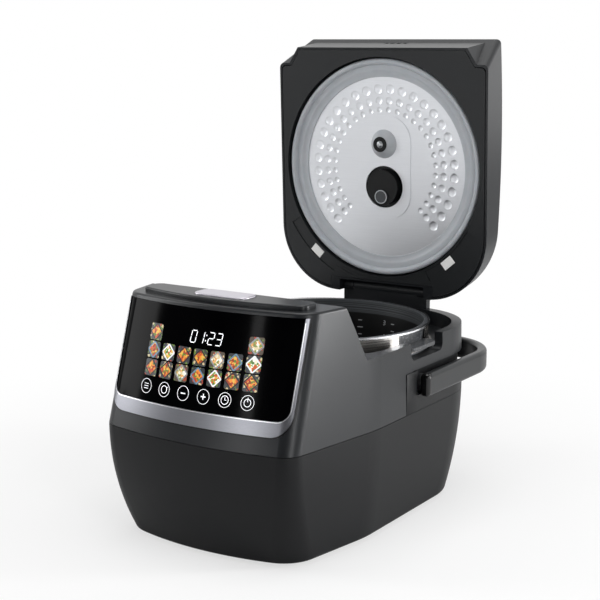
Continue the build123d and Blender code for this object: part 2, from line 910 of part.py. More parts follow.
# Silicone disc on the tip of the chamber
with BuildPart() as steam_disc:
    with Locations((0, steam_y + chamber_r - disc_r - chamber_wall, chamber_tip_z)):
        Cylinder(disc_r, disc_thick, align=(Align.CENTER, Align.CENTER, Align.MAX))
    fillet(steam_disc.faces().sort_by(Axis.Z)[0].edges(), disc_thick / 3)
save(steam_disc, "steam_disc", lid_place)

# Steam valve cap in the well on top of the lid, with three outlets
valve_low = valve_well_z + fit_gap
seal_deep = 2 * seal_half
with BuildPart() as valve_cap:
    with BuildSketch(Plane.XY.offset(valve_low)):
        Circle(valve_r)
    extrude(amount=valve_rise)
    fillet(valve_cap.faces().sort_by(Axis.Z)[-1].edges(), edge_r)
    with BuildSketch(Plane.XY.offset(valve_low)):
        Circle(valve_stem_r)
    extrude(amount=-valve_stem)
    with BuildSketch(Plane.XY.offset(valve_low + valve_rise)):
        with GridLocations(0, valve_stem_r, 1, 3):
            SlotOverall(valve_r, wall)
    extrude(amount=-edge_r, mode=Mode.SUBTRACT)
    with BuildSketch(Plane.XY.offset(valve_low)):
        Circle(seal_r + seal_half + pin_gap)
        Circle(seal_r - seal_half - pin_gap, mode=Mode.SUBTRACT)
    extrude(amount=seal_deep, mode=Mode.SUBTRACT)
save(valve_cap, "valve_cap", lid_place * Location((0, steam_y, 0)))

# Ring that seals the cap against the floor of its well
with BuildPart() as valve_seal:
    with BuildSketch(Plane.XY.offset(valve_low + seal_deep)):
        Circle(seal_r + seal_half)
        Circle(seal_r - seal_half, mode=Mode.SUBTRACT)
    extrude(amount=-(seal_deep + fit_gap / 2))
save(valve_seal, "valve_seal", lid_place * Location((0, steam_y, 0)))

# Inner lid plate with its embossed pad and the two holes
pad_low = plate_z - pad_rise
with BuildPart() as inner_plate:
    with BuildSketch(Plane.XY.offset(plate_z)):
        Circle(plate_r)
    extrude(amount=plate_thick)
    with BuildSketch(Plane.XY.offset(plate_z)):
        RectangleRounded(pad_width, pad_length, pad_r)
    extrude(amount=-pad_rise)
    with BuildSketch(Plane.XY.offset(pad_low)):
        with Locations((0, steam_y)):
            Circle(steam_hole_r)
        with Locations((0, grommet_y)):
            Circle(grommet_hole_r)
    extrude(amount=pad_rise + plate_thick, mode=Mode.SUBTRACT)
save(inner_plate, "inner_plate", lid_place)

# Gasket round the plate: its land meets the rim of the bowl all round
gasket_low = bowl_rim_z + gasket_squeeze
gasket_top = gasket_low + gasket_thick
groove_low = plate_z - pin_gap
groove_top = plate_z + plate_thick + pin_gap
groove_r = plate_r + fit_gap
gasket_in = groove_r - gasket_lip
lip_r = (bowl_rim_r + bowl_top_r) / 2
with BuildPart() as lid_gasket:
    with BuildSketch(Plane.XZ):
        with BuildLine():
            Polyline(
                (gasket_in, groove_low),
                (groove_r, groove_low),
                (groove_r, groove_top),
                (gasket_in, groove_top),
                (gasket_in, groove_top + plate_thick),
                (groove_r + gasket_lip, gasket_top),
                (gasket_r, gasket_top),
                (gasket_r, gasket_low + gasket_edge),
                (gasket_r - gasket_edge, gasket_low),
                (lip_r - gasket_lip, gasket_low),
                (groove_r + gasket_lip, groove_low - plate_thick),
                (gasket_in, groove_low - plate_thick),
                close=True,
            )
        make_face()
    revolve(axis=Axis.Z)
save(lid_gasket, "lid_gasket", lid_place)

# Soft grommet that grips the stud, clipped into the plate
grommet_low = pad_low - pin_gap
with BuildPart() as grommet:
    with BuildSketch(Plane.XZ):
        with BuildLine():
            Polyline(
                (stud_r + fit_gap, grommet_low - grommet_rise),
                (grommet_tip_r, grommet_low - grommet_rise),
                (grommet_base_r, grommet_low),
                (grommet_hole_r - pin_gap, grommet_low),
                (grommet_hole_r - pin_gap, groove_top),
                (grommet_hole_r + wall, groove_top),
                (grommet_hole_r + wall, groove_top + plate_thick),
                (stud_r + fit_gap, groove_top + plate_thick),
                close=True,
            )
        make_face()
    revolve(axis=Axis.Z)
save(grommet, "grommet", lid_place * Location((0, grommet_y, 0)))

# Inner bowl, a spun cup with a rolled rim and two cast ears
bowl_flange_z = bowl_rim_z - bowl_rim_thick
bowl_floor_z = bowl_bottom_z + bowl_wall
flat_r = bowl_low_r - bowl_corner_r
corner_top = bowl_bottom_z + bowl_corner_r
with BuildPart() as inner_bowl:
    with BuildSketch(Plane.XZ):
        with BuildLine():
            Line((0, bowl_bottom_z), (flat_r, bowl_bottom_z))
            RadiusArc((flat_r, bowl_bottom_z), (bowl_low_r, corner_top), -bowl_corner_r)
            Polyline(
                (bowl_low_r, corner_top),
                (bowl_top_r, bowl_flange_z),
                (bowl_rim_r, bowl_flange_z),
                (bowl_rim_r, bowl_rim_z),
                (bowl_top_r - bowl_wall, bowl_rim_z),
                (bowl_low_r - bowl_wall, corner_top),
            )
            RadiusArc(
                (bowl_low_r - bowl_wall, corner_top),
                (flat_r, bowl_floor_z),
                bowl_corner_r - bowl_wall,
            )
            Polyline((flat_r, bowl_floor_z), (0, bowl_floor_z), (0, bowl_bottom_z))
        make_face()
    revolve(axis=Axis.Z)
    with BuildSketch(Plane.XY.offset(ear_z)):
        RectangleRounded(2 * ear_reach, 2 * ear_half, ear_corner_r)
        Circle(bowl_top_r - bowl_wall / 2 - ear_sink, mode=Mode.SUBTRACT)
    extrude(amount=ear_thick)
save(inner_bowl, "inner_bowl", cooker_place)

# Well: a thin sheet cup that hangs by its flange in the mouth of the upper housing
flange_r = pocket_half - 2 * fit_gap
well_in = well_r - well_wall
with BuildPart() as pot_well:
    with BuildSketch(Plane.XZ):
        with BuildLine():
            Polyline(
                (sensor_r + wall, well_floor_z),
                (well_r, well_floor_z),
                (well_r, shelf_z),
                (flange_r, shelf_z),
                (flange_r, shelf_z + flange_sheet),
                (well_in, shelf_z + flange_sheet),
                (well_in, heater_z),
                (sensor_r + wall, heater_z),
                close=True,
            )
        make_face()
    revolve(axis=Axis.Z)
save(pot_well, "pot_well", cooker_place)

# Brushed ring that stands on the flange of the well, up to the rim of the bowl
ring_low = shelf_z + flange_sheet
ring_top = bowl_flange_z - fit_gap
ring_r = well_in - fit_gap
with BuildPart() as rim_ring:
    with BuildSketch(Plane.XZ):
        with BuildLine():
            Polyline(
                (ring_r - ring_sheet, ring_low),
                (flange_r, ring_low),
                (flange_r, ring_low + ring_sheet),
                (ring_r, ring_low + ring_sheet),
                (ring_r, ring_top),
                (ring_r - ring_sheet, ring_top),
                close=True,
            )
        make_face()
    revolve(axis=Axis.Z)
    with BuildSketch(Plane.XY.offset(ear_z - 2 * fit_gap)):
        Rectangle(2 * ear_reach, 2 * (ear_half + wall))
    extrude(amount=bowl_rim_z - ear_z, mode=Mode.SUBTRACT)
save(rim_ring, "rim_ring", cooker_place)

# Cast heater plate with a bulge underneath over its heating loop
with BuildPart() as heater_plate:
    with BuildSketch(Plane.XZ):
        with BuildLine():
            Polyline(
                (heater_hole_r, heater_z),
                (heater_r - heater_lip, heater_z),
                (heater_r, heater_z + heater_lip),
                (heater_r, bowl_bottom_z),
                (heater_hole_r, bowl_bottom_z),
                close=True,
            )
        make_face()
    revolve(axis=Axis.Z)
save(heater_plate, "heater_plate", cooker_place)

# Sprung sensor in the middle of the heater, its guide under the well and its spring
sensor_low = bowl_bottom_z - pin_gap - sensor_head
with BuildPart() as bowl_sensor:
    with BuildSketch(Plane.XY.offset(sensor_low)):
        Circle(sensor_r)
    extrude(amount=sensor_head)
    fillet(bowl_sensor.faces().sort_by(Axis.Z)[-1].edges(), sensor_travel / 2)
    with BuildSketch(Plane.XY.offset(sensor_low)):
        Circle(sensor_stem_r)
    extrude(amount=-sensor_stem)
save(bowl_sensor, "bowl_sensor", cooker_place)

with BuildPart() as sensor_guide:
    with BuildSketch(Plane.XY.offset(well_floor_z)):
        Circle(sensor_guide_r)
    extrude(amount=-sensor_guide_thick)
    with BuildSketch(Plane.XY.offset(well_floor_z)):
        Circle(sensor_stem_r + wall)
    extrude(amount=-(sensor_guide_thick + sensor_neck))
    with BuildSketch(Plane.XY.offset(well_floor_z)):
        Circle(sensor_stem_r + slide_gap)
    extrude(amount=-(sensor_guide_thick + sensor_neck), mode=Mode.SUBTRACT)
save(sensor_guide, "sensor_guide", cooker_place)

with BuildPart() as sensor_spring:
    with BuildSketch(Plane.XY.offset(well_floor_z)):
        Circle(sensor_stem_r + slide_gap + spring_wall)
        Circle(sensor_stem_r + slide_gap, mode=Mode.SUBTRACT)
    extrude(amount=sensor_low - well_floor_z)
save(sensor_spring, "sensor_spring", cooker_place)

# Thermal fuse in its clip under the floor of the well
with BuildPart() as thermal_fuse:
    with BuildSketch(Plane.XZ.offset(-fuse_length / 2)):
        with Locations((fuse_x, well_floor_z - fuse_r - flange_sheet)):
            Circle(fuse_r)
    extrude(amount=fuse_length)
    with Locations((fuse_x, 0, well_floor_z)):
        Box(2 * fuse_r, fuse_r * 2, fuse_r, align=(Align.CENTER, Align.CENTER, Align.MAX))
save(thermal_fuse, "thermal_fuse", cooker_place)

# Base plate with vents, standoffs for the power board and screw bosses
base_top = base_top_z + base_plate_thick
board_z = base_top + standoff
board_spots = [(x, power_y + y) for x in (-board_dx, board_dx) for y in (-board_dy, board_dy)]
with BuildPart() as base_plate:
    with BuildSketch(Plane.XY.offset(base_top_z)):
        add(base_plan(-flange_width / 4))
        with GridLocations(0, vent_pitch, 1, vent_count):
            SlotOverall(vent_length, vent_width, mode=Mode.SUBTRACT)
    extrude(amount=base_plate_thick)
    with BuildSketch(Plane.XY.offset(base_top)):
        with Locations(*board_spots):
            Circle(post_r)
    extrude(amount=standoff)
    with BuildSketch(Plane.XY.offset(base_top)):
        with Locations(*screw_spots):
            Circle(post_r)
    extrude(amount=standoff)
    with BuildSketch(Plane.XY.offset(base_top_z)):
        with Locations(*screw_spots):
            Circle(screw_r + pin_gap)
    extrude(amount=base_plate_thick + standoff - wall, mode=Mode.SUBTRACT)
save(base_plate, "base_plate", cooker_place)

with BuildPart() as base_screws:
    with Locations(*[(x, y, foot_height) for x, y in screw_spots]):
        Cylinder(screw_head_r, screw_head_thick, align=(Align.CENTER, Align.CENTER, Align.MIN))
        Cylinder(screw_r, flange_thick + base_plate_thick, align=(Align.CENTER, Align.CENTER, Align.MIN))
save(base_screws, "base_screws", cooker_place)

# Rubber feet with a stub pressed into the flange
with BuildPart() as feet:
    with BuildSketch(Plane.XY):
        with Locations(*foot_spots):
            Circle(foot_r)
    extrude(amount=foot_height)
    with BuildSketch(Plane.XY.offset(foot_height)):
        with Locations(*foot_spots):
            Circle(foot_stub_r)
    extrude(amount=flange_thick - wall)
save(feet, "feet", cooker_place)

# Power board on the standoffs, with its transformer, relay and capacitor
with BuildPart() as power_board:
    with BuildSketch(Plane.XY.offset(board_z)):
        with Locations((0, power_y)):
            Rectangle(power_width, power_deep)
    extrude(amount=board_thick)
    with Locations((-power_width / 4, power_y, board_z + board_thick)):
        Box(part_width, part_width, part_height, align=(Align.CENTER, Align.CENTER, Align.MIN))
    with Locations((power_width / 8, power_y, board_z + board_thick)):
        Box(part_width / 2, part_width, part_height / 2, align=(Align.CENTER, Align.CENTER, Align.MIN))
    with Locations((power_width / 3, power_y, board_z + board_thick)):
        Cylinder(part_width / 4, part_height, align=(Align.CENTER, Align.CENTER, Align.MIN))
save(power_board, "power_board", cooker_place)

# Mains inlet in the rear of the lower housing, with its two pins
with BuildPart() as mains_inlet:
    with BuildSketch(Plane.XZ.offset(-inlet_pad_y)):
        with Locations((inlet_x, inlet_z)):
            RectangleRounded(inlet_width + 2 * inlet_flange, inlet_height + 2 * inlet_flange, inlet_corner_r)
    extrude(amount=-inlet_flange_thick)
    with BuildSketch(Plane.XZ.offset(-inlet_pad_y)):
        with Locations((inlet_x, inlet_z)):
            RectangleRounded(inlet_width, inlet_height, inlet_corner_r)
    extrude(amount=inlet_deep)
    with BuildSketch(Plane.XZ.offset(-inlet_pad_y - inlet_flange_thick)):
        with Locations((inlet_x, inlet_z)):
            RectangleRounded(
                inlet_width - 2 * inlet_wall,
                inlet_height - 2 * inlet_wall,
                inlet_corner_r - inlet_wall,
            )
    extrude(amount=inlet_flange_thick + inlet_socket_deep, mode=Mode.SUBTRACT)
save(mains_inlet, "mains_inlet", cooker_place)

socket_floor = inlet_pad_y - inlet_socket_deep
with BuildPart() as inlet_pins:
    with BuildSketch(Plane.XZ.offset(-socket_floor)):
        with Locations((inlet_x, inlet_z)):
            with GridLocations(2 * pin_pitch, 0, 2, 1):
                Circle(inlet_wall)
    extrude(amount=-pin_length)
save(inlet_pins, "inlet_pins", cooker_place)

# Hinge bracket on the rear rim: barrel and web, with a pocket for the lid spring round the pin
bracket_half = notch_hinge_half - slide_gap
with BuildPart() as hinge_bracket:
    with BuildSketch(Plane.YZ) as side:
        with Locations((hinge_y, hinge_z)):
            Circle(barrel_r)
        with Locations((bracket_web_y, (hinge_z + rim_z) / 2)):
            Rectangle(bracket_web, hinge_z - rim_z)
        with Locations((hinge_y, hinge_z)):
            Circle(hinge_pin_r + pin_gap, mode=Mode.SUBTRACT)
    extrude(amount=bracket_half, both=True)
    for side in (-1, 1):
        with BuildSketch(Plane.YZ.offset(side * bracket_half)):
            with Locations((hinge_y, hinge_z)):
                Circle(barrel_r + knuckle_rise)
                Circle(barrel_r, mode=Mode.SUBTRACT)
        extrude(amount=-side * knuckle_long)
    with BuildSketch(Plane.YZ.offset(bracket_half)):
        with Locations((hinge_y, hinge_z)):
            Circle(hinge_spring_r + fit_gap)
    extrude(amount=-hinge_spring_long, mode=Mode.SUBTRACT)
save(hinge_bracket, "hinge_bracket", cooker_place)

with BuildPart() as hinge_spring:
    with BuildSketch(Plane.YZ.offset(bracket_half - fit_gap)):
        with Locations((hinge_y, hinge_z)):
            Circle(hinge_spring_r)
            Circle(hinge_spring_r - 2 * spring_wall, mode=Mode.SUBTRACT)
    extrude(amount=fit_gap - hinge_spring_long)
save(hinge_spring, "hinge_spring", cooker_place)

with BuildPart() as hinge_pin:
    with BuildSketch(Plane.YZ):
        with Locations((hinge_y, hinge_z)):
            Circle(hinge_pin_r)
    extrude(amount=arm_outer - wall - fit_gap, both=True)
save(hinge_pin, "hinge_pin", cooker_place)

# Handle: a flat bail round the rear, its arms turning on shoulder pins in the bay
def handle_plan(grow):
    with BuildSketch() as plan:
        with BuildLine():
            Polyline(
                (handle_inner_half + grow, handle_y - arm_end),
                (handle_inner_half + grow, handle_inner_rear + grow),
                (-handle_inner_half - grow, handle_inner_rear + grow),
                (-handle_inner_half - grow, handle_y - arm_end),
                close=True,
            )
        make_face()
        fillet(plan.vertices().group_by(Axis.Y)[-1], handle_inner_r + grow)
    return plan.sketch


handle_outer_half = handle_inner_half + handle_thick
arm_front = handle_y - arm_end
with BuildPart() as handle:
    with BuildSketch(Plane.XY.offset(handle_z - handle_height / 2)):
        add(handle_plan(handle_thick))
        add(handle_plan(0), mode=Mode.SUBTRACT)
    extrude(amount=handle_height)
    fillet(handle.edges().filter_by(Plane.XY), handle_edge_r)
    for side in (-1, 1):
        with BuildSketch(Plane.YZ.offset(side * handle_inner_half)):
            with Locations((handle_y, handle_z)):
                Circle(handle_bore_r)
        extrude(amount=side * (handle_thick - wall), mode=Mode.SUBTRACT)
save(handle, "handle", cooker_place)

# Shoulder pins in the wall of the bay, each with a blind end inside its arm
bay_face = seam_half - bay_inset
pin_root = bay_face - boss_deep
with BuildPart() as handle_pivots:
    for side in (-1, 1):
        with BuildSketch(Plane.YZ.offset(side * pin_root)):
            with Locations((handle_y, handle_z)):
                Circle(handle_bore_r - pin_gap)
        extrude(amount=side * (handle_outer_half - wall - pin_root - fit_gap))
        with BuildSketch(Plane.YZ.offset(side * bay_face)):
            with Locations((handle_y, handle_z)):
                Circle(shoulder_r)
        extrude(amount=side * (handle_inner_half - bay_face - fit_gap))
save(handle_pivots, "handle_pivots", cooker_place)

# Rounded gloss end piece on the front of each arm
with BuildPart() as handle_caps:
    for side in (-1, 1):
        with BuildSketch(Plane.XZ.offset(-arm_front)):
            with Locations((side * (handle_inner_half + handle_thick / 2), handle_z)):
                RectangleRounded(handle_thick, handle_height, handle_edge_r)
        extrude(amount=cap_deep)
    fillet(handle_caps.faces().group_by(Axis.Y)[0].edges(), cap_edge_r)
save(handle_caps, "handle_caps", cooker_place)

# Silver trim: a thin U round the panel, following the curve of the front
panel_half = trim_half - trim_side
panel_low_z = trim_low_z + trim_band


def front_skin(outer, inner):
    """Layer of the front between two depths from its surface."""
    with BuildPart() as skin:
        add(upper_form(outer))
        add(upper_form(inner), mode=Mode.SUBTRACT)
    return skin.part


with BuildPart() as panel_trim:
    add(front_skin(trim_proud, pin_gap - panel_deep))
    add(
        front_window(trim_half - fit_gap, trim_low_z + fit_gap, trim_top_z - fit_gap, trim_corner_r),
        mode=Mode.INTERSECT,
    )
    add(front_window(panel_half, panel_low_z, deck_z, panel_corner_r), mode=Mode.SUBTRACT)
save(panel_trim, "panel_trim", cooker_place)

with BuildPart() as touch_panel:
    add(front_skin(0, pin_gap - panel_deep))
    add(
        front_window(panel_half - fit_gap, panel_low_z + fit_gap, trim_top_z - fit_gap, panel_corner_r),
        mode=Mode.INTERSECT,
    )
save(touch_panel, "touch_panel", cooker_place)

# Display board on four posts behind the panel
front_lean = (seam_front + seam_bow - deck_front - deck_bow) / (deck_z - seam_z)
display_y = -(front_reach - (display_z - seam_z) * front_lean) + display_set_back
board_plane = Plane((0, display_y, display_z), x_dir=(1, 0, 0), z_dir=(0, -1, front_lean))
with BuildPart() as display_board:
    with BuildSketch(board_plane):
        Rectangle(2 * display_half, display_height)
    extrude(amount=-board_thick)
    with BuildSketch(board_plane):
        with GridLocations(2 * (display_half - 2 * post_r), display_height - 4 * post_r, 2, 2):
            Circle(post_r)
    extrude(amount=2 * display_set_back)
    add(upper_form(-panel_deep - wall - pin_gap), mode=Mode.INTERSECT)
save(display_board, "display_board", cooker_place)

# Deck cover: the raised plateau behind the panel, with the opening for the button
button_low = deck_z + button_travel + fit_gap
with BuildPart() as deck_cover:
    with BuildSketch(Plane.XY.offset(deck_z)) as plan:
        with BuildLine():
            Polyline(
                (cover_half, -cover_front),
                (cover_half, -cover_rear),
                (-cover_half, -cover_rear),
                (-cover_half, -cover_front),
            )
            ThreePointArc(
                (-cover_half, -cover_front),
                (0, -cover_front - cover_bow),
                (cover_half, -cover_front),
            )
        make_face()
        fillet(plan.vertices(), cover_corner_r)
    extrude(amount=cover_thick)
    fillet(deck_cover.faces().sort_by(Axis.Z)[-1].edges(), cover_edge_r)
    with BuildSketch(Plane.XY.offset(deck_z)):
        with Locations((0, button_y)):
            RectangleRounded(2 * button_half, button_deep, button_corner_r)
    extrude(amount=cover_thick, mode=Mode.SUBTRACT)
save(deck_cover, "deck_cover", cooker_place)

# Lid-open button with a stem that bears on the latch
lever_top = hook_z + latch_thick / 2
with BuildPart() as open_button:
    with BuildSketch(Plane.XY.offset(button_low)):
        with Locations((0, button_y)):
            RectangleRounded(
                2 * (button_half - slide_gap),
                button_deep - 2 * slide_gap,
                button_corner_r - slide_gap,
            )
    extrude(amount=deck_z + cover_thick + button_proud - button_low)
    fillet(open_button.faces().sort_by(Axis.Z)[-1].edges(), button_proud)
    with BuildSketch(Plane.XY.offset(button_low)):
        with Locations((0, button_y - stem_ahead)):
            Rectangle(latch_width, button_stem)
    extrude(amount=-(button_low - lever_top - fit_gap))
save(open_button, "open_button", cooker_place)

# Latch lever: upright on its pin, with an arm under the button and a comb of hooks for the lid
hook_tip = -(hook_face - hook_bite)
comb_root = -(hook_face + lid_clear + 2 * wall)
with BuildPart() as latch_lever:
    with BuildSketch(Plane.YZ):
        with Locations((latch_y, latch_z)):
            Circle(latch_thick)
        with Locations((latch_y, (latch_z + lever_top) / 2)):
            Rectangle(latch_thick, lever_top - latch_z)
        with Locations(((latch_y - latch_arm + comb_root) / 2, hook_z)):
            Rectangle(comb_root - latch_y + latch_arm, latch_thick)
        with Locations((latch_y, latch_z)):
            Circle(latch_pin_r + pin_gap, mode=Mode.SUBTRACT)
    extrude(amount=latch_width / 2 - slide_gap, both=True)
    for x in teeth_x:
        with Locations((x, (comb_root + hook_tip) / 2 - wall / 2, hook_z)):
            Box(tooth_width, hook_tip - comb_root + wall, latch_thick)
save(latch_lever, "latch_lever", cooker_place)

with BuildPart() as latch_pin:
    with BuildSketch(Plane.YZ):
        with Locations((latch_y, latch_z)):
            Circle(latch_pin_r)
    extrude(amount=cheek_x + cheek_thick, both=True)
save(latch_pin, "latch_pin", cooker_place)

with BuildPart() as latch_spring:
    with BuildSketch(Plane.XY.offset(spring_seat_z)):
        with Locations((0, button_y + button_deep / 4)):
            Circle(latch_spring_r)
            Circle(latch_spring_r - spring_wall, mode=Mode.SUBTRACT)
    extrude(amount=hook_z - latch_thick / 2 - spring_seat_z)
save(latch_spring, "latch_spring", cooker_place)
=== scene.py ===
# %% [markdown]
# # A multicooker with its lid open
# This lesson dresses a finished CAD model of a multicooker. The solids, their sizes and their joints
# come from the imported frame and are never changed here. Blender adds what the solids leave out: the
# lit display, the touch keys, the soft gasket, the pressed dents of the inner lid, the marks in the
# bowl, and a material for every surface.

import json
import math

import bpy
from mathutils import Matrix, Vector

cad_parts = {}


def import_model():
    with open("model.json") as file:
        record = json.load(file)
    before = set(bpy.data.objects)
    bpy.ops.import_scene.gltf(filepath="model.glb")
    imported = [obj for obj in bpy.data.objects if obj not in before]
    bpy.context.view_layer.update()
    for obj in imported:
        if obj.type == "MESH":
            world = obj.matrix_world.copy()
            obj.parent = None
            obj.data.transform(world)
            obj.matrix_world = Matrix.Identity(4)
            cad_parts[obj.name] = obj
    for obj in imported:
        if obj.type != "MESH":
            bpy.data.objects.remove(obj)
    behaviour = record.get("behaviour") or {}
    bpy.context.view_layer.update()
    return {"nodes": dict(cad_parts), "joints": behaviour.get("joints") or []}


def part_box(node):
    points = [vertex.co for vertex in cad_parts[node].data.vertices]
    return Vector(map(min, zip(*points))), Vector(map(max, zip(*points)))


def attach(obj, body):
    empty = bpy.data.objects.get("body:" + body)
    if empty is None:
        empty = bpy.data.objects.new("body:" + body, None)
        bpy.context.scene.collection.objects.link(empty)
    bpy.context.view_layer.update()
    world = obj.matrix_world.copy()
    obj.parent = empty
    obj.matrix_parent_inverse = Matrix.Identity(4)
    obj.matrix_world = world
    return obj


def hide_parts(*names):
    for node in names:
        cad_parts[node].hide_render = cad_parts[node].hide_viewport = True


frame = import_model()
nodes = frame["nodes"]
bpy.ops.object.select_all(action="DESELECT")
scene = bpy.context.scene
scene.view_settings.view_transform = "Standard"
print("CAD nodes:", len(nodes))

# %% [markdown]
# ## Sizes shared with the model
# Every piece lies in the same frame as the solids, in metres. The lid is easiest to think of shut, so
# its pieces are made shut, flat over the bowl, and one matrix then swings them open round the hinge,
# as the real lid swings.

# %% Places on the cooker
MM = 0.001
hinge = next(j for j in frame["joints"] if j["name"] == "lid_hinge")
hinge_point = Vector(hinge["pos_m"])
lid_open = math.radians(-hinge["range_deg"][0])
swing_open = (
    Matrix.Translation(hinge_point)
    @ Matrix.Rotation(-lid_open, 4, "X")
    @ Matrix.Translation(-hinge_point)
)
bowl_low, bowl_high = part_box("inner_bowl")
pot_y = (bowl_low.y + bowl_high.y) / 2
print("pot axis at y =", round(pot_y, 4), "lid open by", round(math.degrees(lid_open)), "degrees")

# %% [markdown]
# ## Small tools for materials
# Colours are written as sRGB hex values, as a paint maker gives them, and one function turns them to
# the linear values that shaders use. One more function adds a node with its settings and links, so a
# material reads as a short list.


# %% Material tools
def hex_colour(value):
    """Linear RGBA of an sRGB hex value."""
    channels = [int(value[i : i + 2], 16) / 255 for i in (1, 3, 5)]
    linear = [c / 12.92 if c <= 0.04045 else ((c + 0.055) / 1.055) ** 2.4 for c in channels]
    return (*linear, 1.0)


def feed(tree, node, sources):
    """Links sources to a node's sockets. A source is an output, or a node for its first output."""
    for key, source in sources.items():
        tree.links.new(source.outputs[0] if hasattr(source, "outputs") else source, node.inputs[key])


def add_node(tree, kind, settings=None, links=None, stops=()):
    """Adds a node with its settings, which are attributes or sockets by name, and the sources of its
    sockets. A colour ramp also has its stops, as positions and hex colours."""
    made = tree.nodes.new("ShaderNode" + kind)
    for key, value in (settings or {}).items():
        if isinstance(key, int) or key in made.inputs:
            made.inputs[key].default_value = value
        else:
            setattr(made, key, value)
    feed(tree, made, links or {})
    while stops and len(made.color_ramp.elements) < len(stops):
        made.color_ramp.elements.new(1.0)
    for number, (position, colour) in enumerate(stops):
        made.color_ramp.elements[number].position = position
        made.color_ramp.elements[number].color = hex_colour(colour)
    return made


def new_material(name, **shader):
    """A Principled material with the given socket values, its tree, and its shader node."""
    material = bpy.data.materials.new(name)
    material.use_nodes = True
    bsdf = material.node_tree.nodes["Principled BSDF"]
    for key, value in shader.items():
        bsdf.inputs[key.replace("_", " ")].default_value = value
    return material, material.node_tree, bsdf


def coat(material, *names):
    """Gives CAD nodes a material of their own."""
    for name in names:
        nodes[name].data.materials.clear()
        nodes[name].data.materials.append(material)


print("material tools ready")

# %% [markdown]
# ## Colour that drifts
# No real surface has one flat colour. Most finishes here start from a colour that drifts between two
# close tones, read from a noise with patches of a real size, and a second helper lets the same pattern
# change how rough and how high the surface is.

# %% Drifting colour
TONE_ENDS = (0.3, 0.7)


def mottled(name, colour, shade, patch_mm, detail=2.0, ends=TONE_ENDS, place=None, **shader):
    """Material with a drifting colour. Also gives its tree, its shader, the pattern and the colour."""
    material, tree, bsdf = new_material(name, **shader)
    vector = place(tree) if place else add_node(tree, "TexCoord").outputs["Object"]
    patches = add_node(
        tree, "TexNoise", {"Scale": 1 / (patch_mm * MM), "Detail": detail}, {"Vector": vector}
    )
    stops = list(zip(ends, (shade, colour)))
    tone = add_node(tree, "ValToRGB", links={"Fac": patches}, stops=stops)
    feed(tree, bsdf, {"Base Color": tone})
    return material, tree, bsdf, patches, tone


def textured(tree, bsdf, pattern, roughness, drift, bump, deep_mm):
    """Lets a pattern change the roughness and, where a bump is asked for, the height."""
    rough = add_node(
        tree, "MapRange", {"To Min": roughness - drift, "To Max": roughness + drift}, {"Value": pattern}
    )
    feed(tree, bsdf, {"Roughness": rough})
    if bump:
        height = add_node(tree, "Bump", {"Strength": bump, "Distance": deep_mm * MM}, {"Height": pattern})
        feed(tree, bsdf, {"Normal": height})


print("colours drift between", TONE_ENDS, "of a noise")

# %% [markdown]
# ## Painted and moulded plastics
# The upper housing, the deck and the lid are ABS with a satin graphite paint that holds fine metal
# flakes. The lower housing is bare charcoal ABS, spark-textured in the mould. Both are close in colour,
# so the difference is in the grain: the paint has a faint flake of a third of a millimetre, the bare
# plastic a dull grain of half a millimetre that breaks up highlights.

# %% Moulded plastic
GRAIN_DEEP = 0.1
GRAIN_DRIFT = 0.05


def grained_plastic(name, colour, shade, roughness, grain_mm, bump, metallic=0.0, shine=0.35):
    """Plastic with a grain of a given size: small changes of colour, roughness and height."""
    material, tree, bsdf, grain, _ = mottled(
        name, colour, shade, grain_mm, 3.0, Metallic=metallic, Specular_IOR_Level=shine
    )
    textured(tree, bsdf, grain, roughness, GRAIN_DRIFT, bump, GRAIN_DEEP)
    return material


# Satin paint over ABS: a soft, wide highlight and a faint glint of flake
graphite_paint = grained_plastic("graphite_painted_abs", "#1B1D20", "#17191C", 0.34, 0.35, 0.08, 0.2, 0.45)
# Bare ABS from a spark-eroded mould: dull, even and darker than the paint
charcoal_abs = grained_plastic("charcoal_textured_abs", "#0F1012", "#0B0C0E", 0.44, 0.5, 0.12, 0.0, 0.22)
# The lid's inner moulding: ABS from a smoother mould, so its edges catch the light
liner_abs = grained_plastic("lid_liner_abs", "#1C1E20", "#17191B", 0.42, 0.5, 0.15)
# Plain black ABS of the small inner mouldings: almost no colour of its own, only a soft shine
black_abs = grained_plastic("black_moulded_abs", "#0B0C0D", "#070809", 0.34, 0.5, 0.12, 0.0, 0.3)
# Handle moulding: satin and close to black, polished by hands
handle_abs = grained_plastic("handle_satin_abs", "#1A1C1E", "#151719", 0.32, 0.4, 0.08, 0.1, 0.45)
# Feet: soft dull rubber with a coarse grain
foot_rubber = grained_plastic("foot_rubber", "#1B1B1C", "#131314", 0.75, 0.7, 0.3)
coat(graphite_paint, "upper_housing", "deck_cover", "lid_shell", "hinge_bracket")
coat(charcoal_abs, "lower_housing")
coat(liner_abs, "lid_liner")
coat(black_abs, "steam_chamber", "valve_cap", "base_plate", "mains_inlet", "latch_lever")
coat(handle_abs, "handle")
coat(foot_rubber, "feet")
print("plastics and rubber: 6")

# %% [markdown]
# ## Gloss black
# The touch panel is a clear acrylic sheet printed black behind, and the ends of the handle are polished
# black plastic. A low, smooth specular over a near black base gives deep black with faint reflections,
# and a very slow noise in the bump gives the slight waviness that any large moulding has.

# %% Gloss black
WAVE_BUMP = 0.05
WAVE_DEEP = 0.2


def gloss_black(name, roughness, shine, wave_mm):
    """Deep black with a polished face that is very slightly wavy."""
    material, tree, bsdf, wave, _ = mottled(
        name, "#040405", "#010102", wave_mm, Roughness=roughness, IOR=1.49, Specular_IOR_Level=shine
    )
    height = add_node(tree, "Bump", {"Strength": WAVE_BUMP, "Distance": WAVE_DEEP * MM}, {"Height": wave})
    feed(tree, bsdf, {"Normal": height})
    return material


# Printed acrylic: deep black, with a faint mirror of the lamps
panel_acrylic = gloss_black("black_backed_acrylic", 0.1, 0.03, 60)
